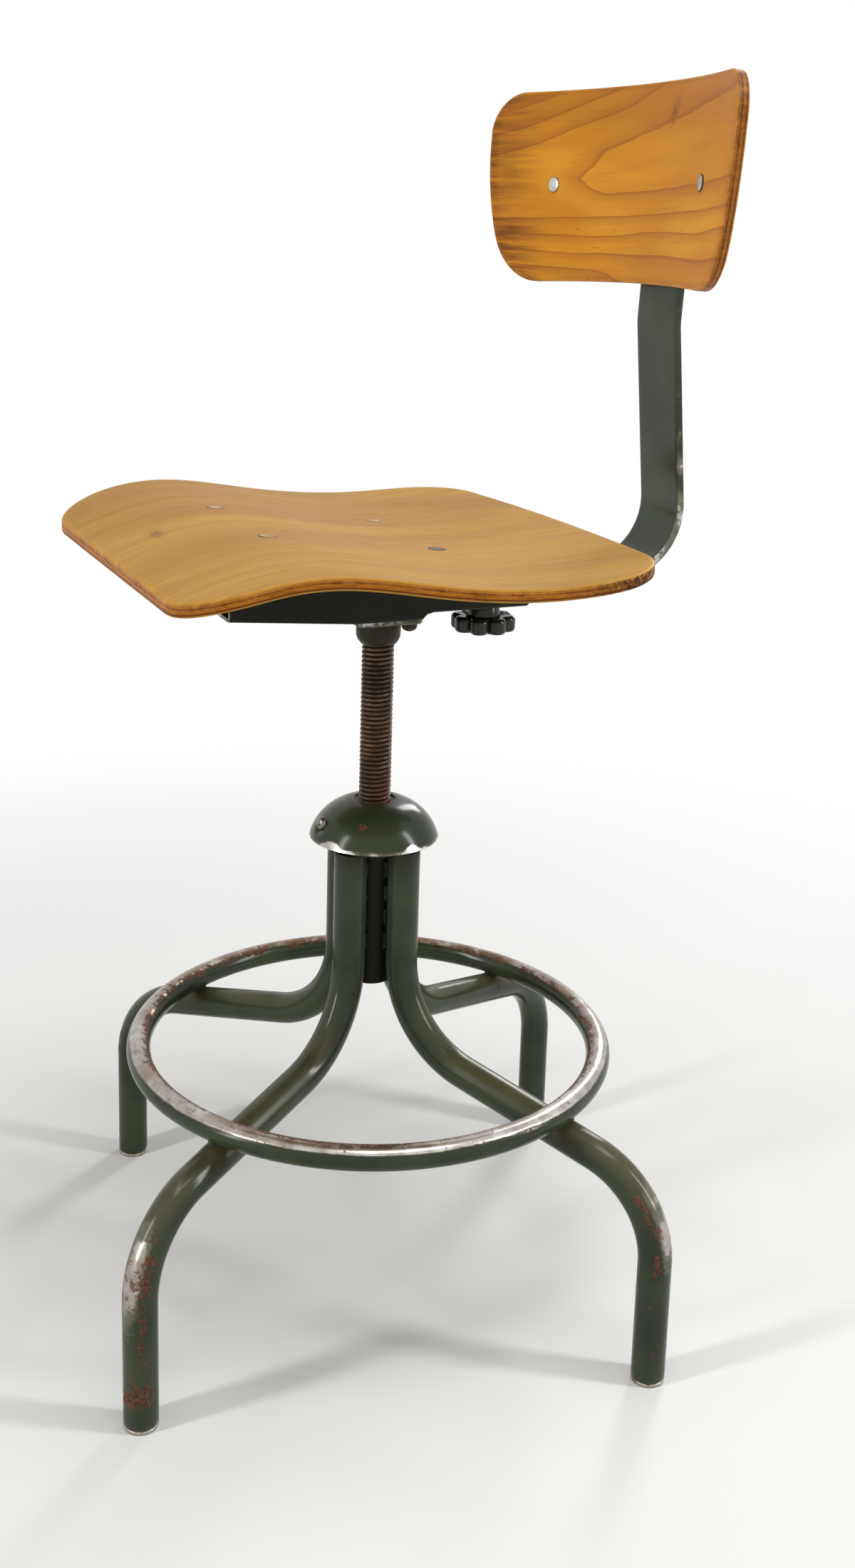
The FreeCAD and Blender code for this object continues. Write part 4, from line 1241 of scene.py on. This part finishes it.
        for hand in (1.0, -1.0):
            points = right * np.array([hand, 1.0, 1.0])
            mesh.grid(points, wear=0.28 * end, rust=0.2 * end, grime=0.2)
            mesh.end_caps(points, wear=0.45, rust=0.3)
        mesh.build("pressed_channel", DARK_PAINT, "seat", "seat_channel", sharp=35)

    def casting(self) -> None:
        """The cast plate with draft and soft edges, and the boss below it."""
        mesh = PieceMesh()
        corners = self.plate_corners
        edges = [bowed(corners[index], corners[(index + 1) % 4], 0.0) for index in range(4)]
        outline = closed_outline(edges, [7.0] * 4, 160)
        plan, depth, inside = plate_skin(outline, self.plate_thick, 1.1, 14, 4)
        height = np.broadcast_to(self.plate_top - depth[:, None], plan.shape[:2])
        points = upright_points(plan, height)
        points = points + (value_noise(points, 9, 3)[..., None] - 0.5) * np.array([0.3, 0.3, 0.0])
        wear = smoothstep(1.2, 0.2, inside)[:, None] * (0.22 + 0.4 * value_noise(points, 12, 1))
        mesh.grid(points, wear=wear, rust=0.4, grime=0.4)
        profile = eased([(12.4, 546), (17.2, 546), (17.2, 531.5), (16.0, 528.2), (13.5, 525.0),
                         (12.6, 525.0), (12.6, 532.0)], 0.9)
        boss = lathe(profile, 72)
        boss[..., :2] *= 1 + (value_noise(boss, 7, 6)[..., None] - 0.5) * 0.02
        low = smoothstep(528, 525.2, boss[..., 2])
        mesh.grid(boss, wear=0.3 * low, rust=0.35 + 0.3 * low, grime=0.5)
        mesh.build("cast_plate_and_boss", CAST_PAINT, "seat", "screw_plate")

    def casting_bolts(self) -> None:
        """Round-head bolts through the cast plate, heads down."""
        mesh = PieceMesh()
        angles = np.linspace(0, np.pi / 2, 12)
        crown = np.stack([6.0 * np.sin(angles), 538.6 + 4.2 * (1 - np.cos(angles))], axis=-1)
        rest = [(6.0, 544.9), (5.6, 545.45), (3.0, 545.45), (3.0, 559.0), (2.6, 559.5), (0, 559.5)]
        profile = np.concatenate([crown, rest])
        for place in self.plate_bolts:
            mesh.grid(lathe(profile, 32, place), rust=0.5, grime=0.5, wear=0.1)
        mesh.build("plate_bolt_heads", CAST_PAINT, "seat", "plate_bolts")


@dataclass(frozen=True)
class Clamp:
    """The knob under the channel that pinches the back bar."""

    y: float = 89.0
    bottom: float = 529.2
    top: float = 541.7
    ring: float = 18.3
    lobe: float = 7.2
    wheel: float = 20.9
    lobes: int = 8
    hub_top: float = 552.7

    def build(self) -> None:
        """A moulded hand knob: the outline is the furthest lobe or the wheel, softened."""
        angle = np.linspace(0, 2 * np.pi, 289)
        step = 2 * np.pi / self.lobes
        local = (angle - math.radians(10) + step / 2) % step - step / 2
        lobe = np.sqrt(np.clip(self.lobe ** 2 - (self.ring * np.sin(local)) ** 2, 0.01, None))
        soft = 1.1
        reach = np.exp((self.ring * np.cos(local) + lobe) / soft)
        reach = soft * np.log(reach + np.exp((self.wheel - 1.6) / soft))
        reach = np.minimum(reach, self.ring + self.lobe)
        outline = reach[:, None] * np.stack([np.cos(angle), np.sin(angle)], axis=-1)
        thick = self.top - self.bottom
        plan, depth, _ = plate_skin(outline, thick, 3.2, 18, 6)
        height = np.broadcast_to(self.top - depth[:, None], plan.shape[:2])
        away = np.linalg.norm(plan, axis=-1)
        face = ((depth < 0.01) | (depth > thick - 0.01))[:, None]
        dish = face * 1.6 * smoothstep(19, 15, away) * smoothstep(10, 13, away)
        height = height + np.where(height > (self.top + self.bottom) / 2, -dish, dish)
        mesh = PieceMesh().grid(upright_points(plan + np.array([0.0, self.y]), height),
                                wear=0.12 * smoothstep(23, 25.5, away))
        profile = eased([(4.9, self.top - 3), (14.0, self.top - 1), (11.5, self.hub_top),
                         (4.9, self.hub_top)], 1.0)
        mesh.grid(lathe(profile, 56, (0.0, self.y)))
        mesh.build("lobed_knob", KNOB_PAINT, "knob", "clamp_knob")


@dataclass(frozen=True)
class Back:
    """The flat bent bar and the curved backrest."""

    bar_half: float = 28.6
    bar_thick: float = 6.0
    bar_corners: tuple = ((49.0, 560.9), (140.0, 560.9), (251.0, 580.5), (233.8, 769.0))
    bar_bends: tuple = (60.0, 53.0, 60.0)
    above_kink: float = 132.0
    lean: float = 3.1
    bar_corner: float = 12.0
    slot_y: float = 89.0
    slot_run: float = 20.0
    slot_half: float = 5.2
    origin: tuple = (0.0, 206.8, 869.0)
    curve: float = 470.0
    ply: float = 8.0
    half_height: float = 77.6
    left_rise: float = 4.5
    half_top: float = 187.0
    half_bottom: float = 160.7
    bow: float = 13.0
    top_corner: float = 35.0
    bottom_corner: float = 50.0
    bolt_reach: float = 112.0
    bolt_height: float = 3.7

    def build(self) -> None:
        """Makes every visible piece that slides with the back."""
        self.bar()
        self.panel()
        self.heads()

    def leaned(self, points: Array) -> Array:
        """Points drawn upright with the backrest's front at y = 0, leaned and placed."""
        angle = math.radians(self.lean)
        x, y, z = points[..., 0], points[..., 1], points[..., 2]
        turned = np.stack([x, y * math.cos(angle) + z * math.sin(angle),
                           z * math.cos(angle) - y * math.sin(angle)], axis=-1)
        return turned + np.array(self.origin)

    def bar(self) -> None:
        """A flat strip carried along its bent line, in halves that part round the slot."""
        lean = math.radians(self.lean)
        kink = self.bar_corners[-1]
        end = (kink[0] + self.above_kink * math.sin(lean),
               kink[1] + self.above_kink * math.cos(lean))
        flat = rounded_line(list(self.bar_corners) + [end], list(self.bar_bends), 4.0, 2.0)
        ends = self.slot_y + self.slot_run * np.array([-1.0, 1.0])
        tip = self.slot_half * np.sin(np.linspace(0, np.pi / 2, 9))
        extra = np.concatenate([ends[0] - tip, ends[1] + tip, np.linspace(ends[0], ends[1], 8)])
        level = self.bar_corners[0][1]
        extra = np.stack([extra, np.full(len(extra), level)], axis=-1)
        run = flat[:, 1] < level + 1e-6
        start = np.concatenate([flat[run], extra])
        start = start[np.unique(np.round(start[:, 0], 3), return_index=True)[1]]
        flat = np.concatenate([start, flat[~run]])
        line = np.stack([np.zeros(len(flat)), flat[:, 0], flat[:, 1]], axis=-1)
        past = np.maximum(np.abs(flat[:, 0] - self.slot_y) - self.slot_run, 0)
        gap = np.sqrt(np.clip(self.slot_half ** 2 - past ** 2, 0, None))
        gap = np.where(flat[:, 1] < level + 1e-6, gap, 0.0)
        length = run_length(flat)
        half = self.bar_half - corner_cut(length[-1] - length, self.bar_corner)
        ease, thick = 0.8, self.bar_thick / 2
        turn = np.linspace(0, np.pi / 2, 5)
        rim_x = np.concatenate([-ease + ease * np.sin(turn), -ease + ease * np.cos(turn)])
        rim_z = np.concatenate([thick - ease + ease * np.cos(turn),
                                -thick + ease - ease * np.sin(turn)])
        across = np.linspace(0, 1, 9)[:-1]
        inner = gap[:, None] + (half[:, None] - ease - gap[:, None]) * across
        edge = half[:, None] + rim_x
        top = np.full(across.shape, thick)
        profile_x = np.concatenate([inner, edge, inner[:, ::-1]], axis=1)
        profile_z = np.broadcast_to(np.concatenate([top, rim_z, -top]), profile_x.shape)
        mesh = PieceMesh()
        rim = smoothstep(1.6, 0.3, half[:, None] - profile_x)
        for hand in (1.0, -1.0):
            profile = np.stack([profile_x * hand, profile_z], axis=-1)
            points = sweep(line, np.array([1.0, 0.0, 0.0]), profile)
            patch = value_noise(points, 14, 11)
            low = smoothstep(720, 590, points[..., 2])
            wear = rim * (0.16 + 0.42 * patch * (0.35 + 0.65 * low))
            mesh.grid(points, wear=wear, rust=0.3 * rim + 0.3 * low * patch)
            slot = np.flatnonzero(gap)
            mesh.grid(points[slot[0] - 1:slot[-1] + 2, [0, -1]], wear=0.5)
            mesh.end_caps(points, wear=0.3)
        mesh.build("bent_back_bar", PAINT, "back", "back_bar")

    def panel(self) -> None:
        """The backrest: a plan outline wrapped on an upright cylinder of the curve's radius."""
        chord_top, chord_bottom = (self.curve * math.sin(half / self.curve)
                                   for half in (self.half_top, self.half_bottom))
        low_right = (-chord_bottom, -self.half_height)
        low_left = (chord_bottom, self.left_rise - self.half_height)
        high_left, high_right = (chord_top, self.half_height), (-chord_top, self.half_height)
        edges = [bowed(low_right, low_left, -5.1), bowed(low_left, high_left, self.bow),
                 bowed(high_left, high_right, 1.8), bowed(high_right, low_right, self.bow)]
        radii = [self.bottom_corner, self.top_corner, self.top_corner, self.bottom_corner]
        outline = closed_outline(edges, radii, 360)
        plan, depth, inside = plate_skin(outline, self.ply, 1.5, 100, 10)
        angle = np.arcsin(plan[..., 0] / self.curve)
        radius = self.curve + depth[:, None]
        points = self.leaned(np.stack([radius * np.sin(angle), radius * np.cos(angle) - self.curve,
                                       plan[..., 1]], axis=-1))
        x, z = plan[..., 0], plan[..., 1]
        edge = smoothstep(9, 1, inside)[:, None]
        far = smoothstep(-105, -180, x)
        low = smoothstep(-14, -30, z) * smoothstep(-60, -150, x)
        scorch = 0.7 * far + 0.55 * low * far ** 0.5 + 0.8 * edge * (0.45 + 0.4 * far)
        scorch = np.clip(scorch + 0.25 * smoothstep(-58, -74, z), 0, 1)
        # Darker towards the top and at both ends.
        tint = smoothstep(20, 76, z) + 0.5 * smoothstep(-120, -180, x)
        tint = np.clip(tint + 0.6 * smoothstep(150, 190, x), 0, 1)
        dots = bell(x - 0.3 * (z - 57), 50, 5) * bell(z, 57, 9)
        # The rim field marks wear and a painted highlight along the rounded front edge.
        rim = smoothstep(2.6, 0.4, inside)[:, None] * (0.21 + 0.3 * value_noise(points, 20, 2))
        side = ((depth > 0.8) & (depth < self.ply - 0.6))[:, None]
        char = side * (0.3 + 0.25 * smoothstep(0, 60, z) * smoothstep(120, 180, x))
        mesh = PieceMesh().grid(points, depth=(depth / self.ply)[:, None], rim=rim,
                                figure=self.figure(x, z), scorch=scorch, char=char, scar=dots,
                                tint=tint)
        mesh.build("moulded_back", BACK_PLY, "back", "backrest_panel")

    def figure(self, x: Array, z: Array) -> Array:
        """Growth rings as levels, with a dark line wherever a level is whole.

        A hill opens towards +X from its tip; rings above it climb to +X and those below
        run nearly level. Between neighbouring lines the level changes evenly.
        """
        above = 66.0 + 0.235 * x + 0.9 * np.sin(x / 19)
        opening = np.sqrt(smoothstep(-70, -44, x + 2.5 * np.sin(z / 4)))
        upper = 36.0 + 0.2 * x - 0.0004 * x ** 2
        lower = 1.8 + 0.045 * x
        middle = (upper + lower) / 2 * smoothstep(-110, -50, x) + 10.0 * smoothstep(-50, -110, x)
        half = (upper - lower) / 2 * opening
        upper, lower = middle + half, middle - half
        crest = 2.0 - np.clip((-68 - x) / 60, 0, 0.9)
        below = -16.6 + 0.035 * x
        second = -31.0 + 0.034 * x + 1.3 * np.sin(x / 23)
        third = -46.0 + 0.012 * x + 1.4 * np.sin(x / 31 + 1)
        fourth = -60.0 - 12 * smoothstep(-50, 15, x)
        inside = 2.0 + 0.45 * (1 - np.abs(z - middle) / np.maximum(half, 1e-6))
        rise = crest + (1 - crest) * (z - upper) / (above - upper)
        fall = crest + (1 - crest) * (lower - z) / (lower - below)
        level = np.where(z > upper, rise, np.where(z > lower, inside, fall))
        level = np.where(z > above, 1 - (z - above) / 17, level)
        level = np.where(z < below, 1 - (below - z) / (below - second), level)
        level = np.where(z < second, -(second - z) / (second - third), level)
        level = np.where(z < third, -1 - (third - z) / (third - fourth), level)
        level = np.where(z < fourth, -2 - (fourth - z) / 14, level)
        return level + 5.0

    def heads(self) -> None:
        """Low domed heads of the backrest bolts on the front face, with their shanks."""
        mesh = PieceMesh()
        bend = self.bolt_reach / self.curve
        turn = circle(40)
        spread = 1.25
        angles = np.linspace(0, spread, 12)
        crown = np.stack([6.3 * np.sin(angles) / math.sin(spread),
                          0.5 + 1.7 * np.cos(angles) - 1.7 * math.cos(spread)], axis=-1)
        shank = [(6.3, -0.3), (3.0, -0.35), (3.0, -18.9), (2.5, -19.4), (0, -19.4)]
        profile = np.concatenate([crown, shank])
        for hand in (-1.0, 1.0):
            out = np.array([hand * math.sin(bend), math.cos(bend), 0.0])
            side = np.array([math.cos(bend), -hand * math.sin(bend), 0.0])
            base = out * self.curve + np.array([0, -self.curve, self.bolt_height])
            spokes = turn[:, :1] * side + turn[:, 1:] * UP
            points = base + profile[:, None, :1] * spokes[None] - profile[:, None, 1:] * out
            # The dark ring at each head's rim is painted shadow of the gap round it; the +X head is
            # darker all over.
            ring = smoothstep(5.5, 6.1, profile[:, :1]) * 0.9 + (0.35 if hand > 0 else 0.0)
            mesh.grid(self.leaned(points), grime=ring)
        mesh.build("domed_bolt_heads", BRIGHT_STEEL, "back", "backrest_bolts")


@dataclass(frozen=True)
class Studio:
    """Pale floor, soft lamps, white surround and the camera."""

    place: tuple = (1192.9, -497.2, 843.2)
    heading: float = 67.37
    pitch: float = 0.22639
    roll: float = 0.02821
    yaw: float = -0.02311
    focal: float = 2429.24
    centre: tuple = (586.43, 866.37)
    frame: tuple = (1200, 2200)
    soft_light: float = 0.22
    aim: tuple = (0.0, 0.0, 0.45)
    lamp_table: tuple = (("left_strip", (1.1, -1.9, 1.3), (0.22, 1.5), 26.0),
                         ("right_strip", (0.5, 2.0, 1.4), (0.24, 1.5), 26.0),
                         ("overhead", (0.3, 0.2, 2.5), (1.1, 1.1), 25.0),
                         ("rear", (-1.9, 0.9, 1.5), (0.4, 1.2), 16.0))

    def build(self) -> None:
        """Sets the stage."""
        self.camera()
        self.world()
        self.floor()
        self.lamps()
        bpy.context.scene.view_settings.view_transform = "Standard"

    def camera(self) -> None:
        """A camera from its measured place, turns, focal length and image centre in pixels."""
        cos, sin = math.cos, math.sin
        ahead = np.array([-sin(self.yaw) * cos(self.pitch), cos(self.yaw) * cos(self.pitch),
                          -sin(self.pitch)])
        level = np.array([cos(self.yaw), sin(self.yaw), 0.0])
        raised = np.cross(level, ahead)
        right = level * cos(self.roll) + raised * sin(self.roll)
        up = -level * sin(self.roll) + raised * cos(self.roll)
        turn = Matrix.Rotation(math.radians(self.heading), 4, "Z")
        matrix = turn @ axes_matrix(right, up, -ahead, np.zeros(3))
        matrix.translation = [value * MM for value in self.place]
        data = bpy.data.cameras.new("camera")
        width, height = self.frame
        data.sensor_width = 36.0
        data.lens = self.focal / height * data.sensor_width
        data.shift_x = (width / 2 - self.centre[0]) / height
        data.shift_y = (self.centre[1] - height / 2) / height
        data.clip_end = 100.0
        camera = new_object("camera", data)
        camera.matrix_world = matrix
        bpy.context.scene.camera = camera

    def world(self) -> None:
        """White where the camera, a mirror or glass looks past the object, and soft light."""
        world = bpy.data.worlds.new("surround")
        bpy.context.scene.world = world
        world.use_nodes = True
        graph = Nodes(world.node_tree)
        path = graph.add("ShaderNodeLightPath")
        seen = 0.0
        for ray in ("Is Camera Ray", "Is Glossy Ray", "Is Transmission Ray"):
            seen = graph.calc("MAXIMUM", path.outputs[ray], seen)
        soft, white = (graph.add("ShaderNodeBackground", {
            "Color": (1.0, 1.0, 1.0), "Strength": strength}).outputs[0]
            for strength in (self.soft_light, 1.0))
        mixed = graph.add("ShaderNodeMixShader", {0: seen, 1: soft, 2: white}).outputs[0]
        graph.add("ShaderNodeOutputWorld", {"Surface": mixed})

    def floor(self) -> None:
        """A wide floor that fades to plain white away from the object."""
        across = np.linspace(-9, 9, 41)
        x, y = np.meshgrid(across, across)
        points = np.stack([x, y, np.full_like(x, -0.0004)], axis=-1).reshape(-1, 3)
        mesh = bpy.data.meshes.new("studio_floor")
        mesh.from_pydata(points.tolist(), [], grid_faces(len(across), len(across)).tolist())
        floor = new_object("studio_floor", mesh)
        graph = Graph("studio_floor")
        graph.close(Base_Color=tone(232, 232, 230), Roughness=0.9)
        reach = graph.add("ShaderNodeVectorMath", {0: graph.place}, operation="LENGTH")
        fade = graph.ramp(reach.outputs["Value"], 0.5, 1.5)
        glow = graph.add("ShaderNodeEmission")
        blend = graph.add("ShaderNodeMixShader", {
            0: fade, 1: graph.surface.outputs[0], 2: glow.outputs[0]})
        graph.put(graph.end.inputs["Surface"], blend.outputs[0])
        mesh.materials.append(graph.material)

    def lamps(self) -> None:
        """Tall strips left and right of the camera, a broad lamp above and one behind.

        A lamp's place is counted from the object: towards the camera, to its right, and up.
        """
        turn = math.radians(self.heading)
        right = np.array([math.cos(turn), math.sin(turn), 0.0])
        towards = np.array([math.sin(turn), -math.cos(turn), 0.0])
        for name, place, size, power in self.lamp_table:
            data = bpy.data.lights.new(name, "AREA")
            data.shape = "RECTANGLE"
            data.size, data.size_y = size
            data.energy = power
            spot = towards * place[0] + right * place[1] + UP * place[2]
            back = unit(spot - np.array(self.aim))
            level = unit(np.cross(UP, back))
            lamp = new_object(name, data)
            lamp.matrix_world = axes_matrix(level, np.cross(back, level), back, spot)


NODE_FINISHES = {
    "head_block": CAST_PAINT,
    "stop_washer": SCREW_STEEL,
    "screw_end_nut": SCREW_STEEL,
    "plate_nuts": CAST_PAINT,
    "seat_nuts": BRIGHT_STEEL,
    "clamp_bolt": BRIGHT_STEEL,
    "clamp_plate": PAINT,
    "knob_washer": BRIGHT_STEEL,
    "back_strap": PAINT,
    "strap_rivets": PAINT,
    "backrest_nuts": BRIGHT_STEEL,
}


def dress_nodes(frame: dict) -> None:
    """Gives the solids that stay in view their finishes."""
    for name, finish in NODE_FINISHES.items():
        materials = frame["nodes"][name].data.materials
        if not materials:
            materials.append(finish.material())
        for index in range(len(materials)):
            materials[index] = finish.material()


def main() -> None:
    """Builds the stool in order."""
    logging.basicConfig(level=logging.INFO, format="%(name)s: %(message)s")
    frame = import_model()
    for assembly in (Base(), LiftingScrew(), Seat(), Clamp(), Back()):
        LOG.info("building %s", type(assembly).__name__)
        assembly.build()
    dress_nodes(frame)
    Studio().build()


if __name__ == "__main__":
    main()
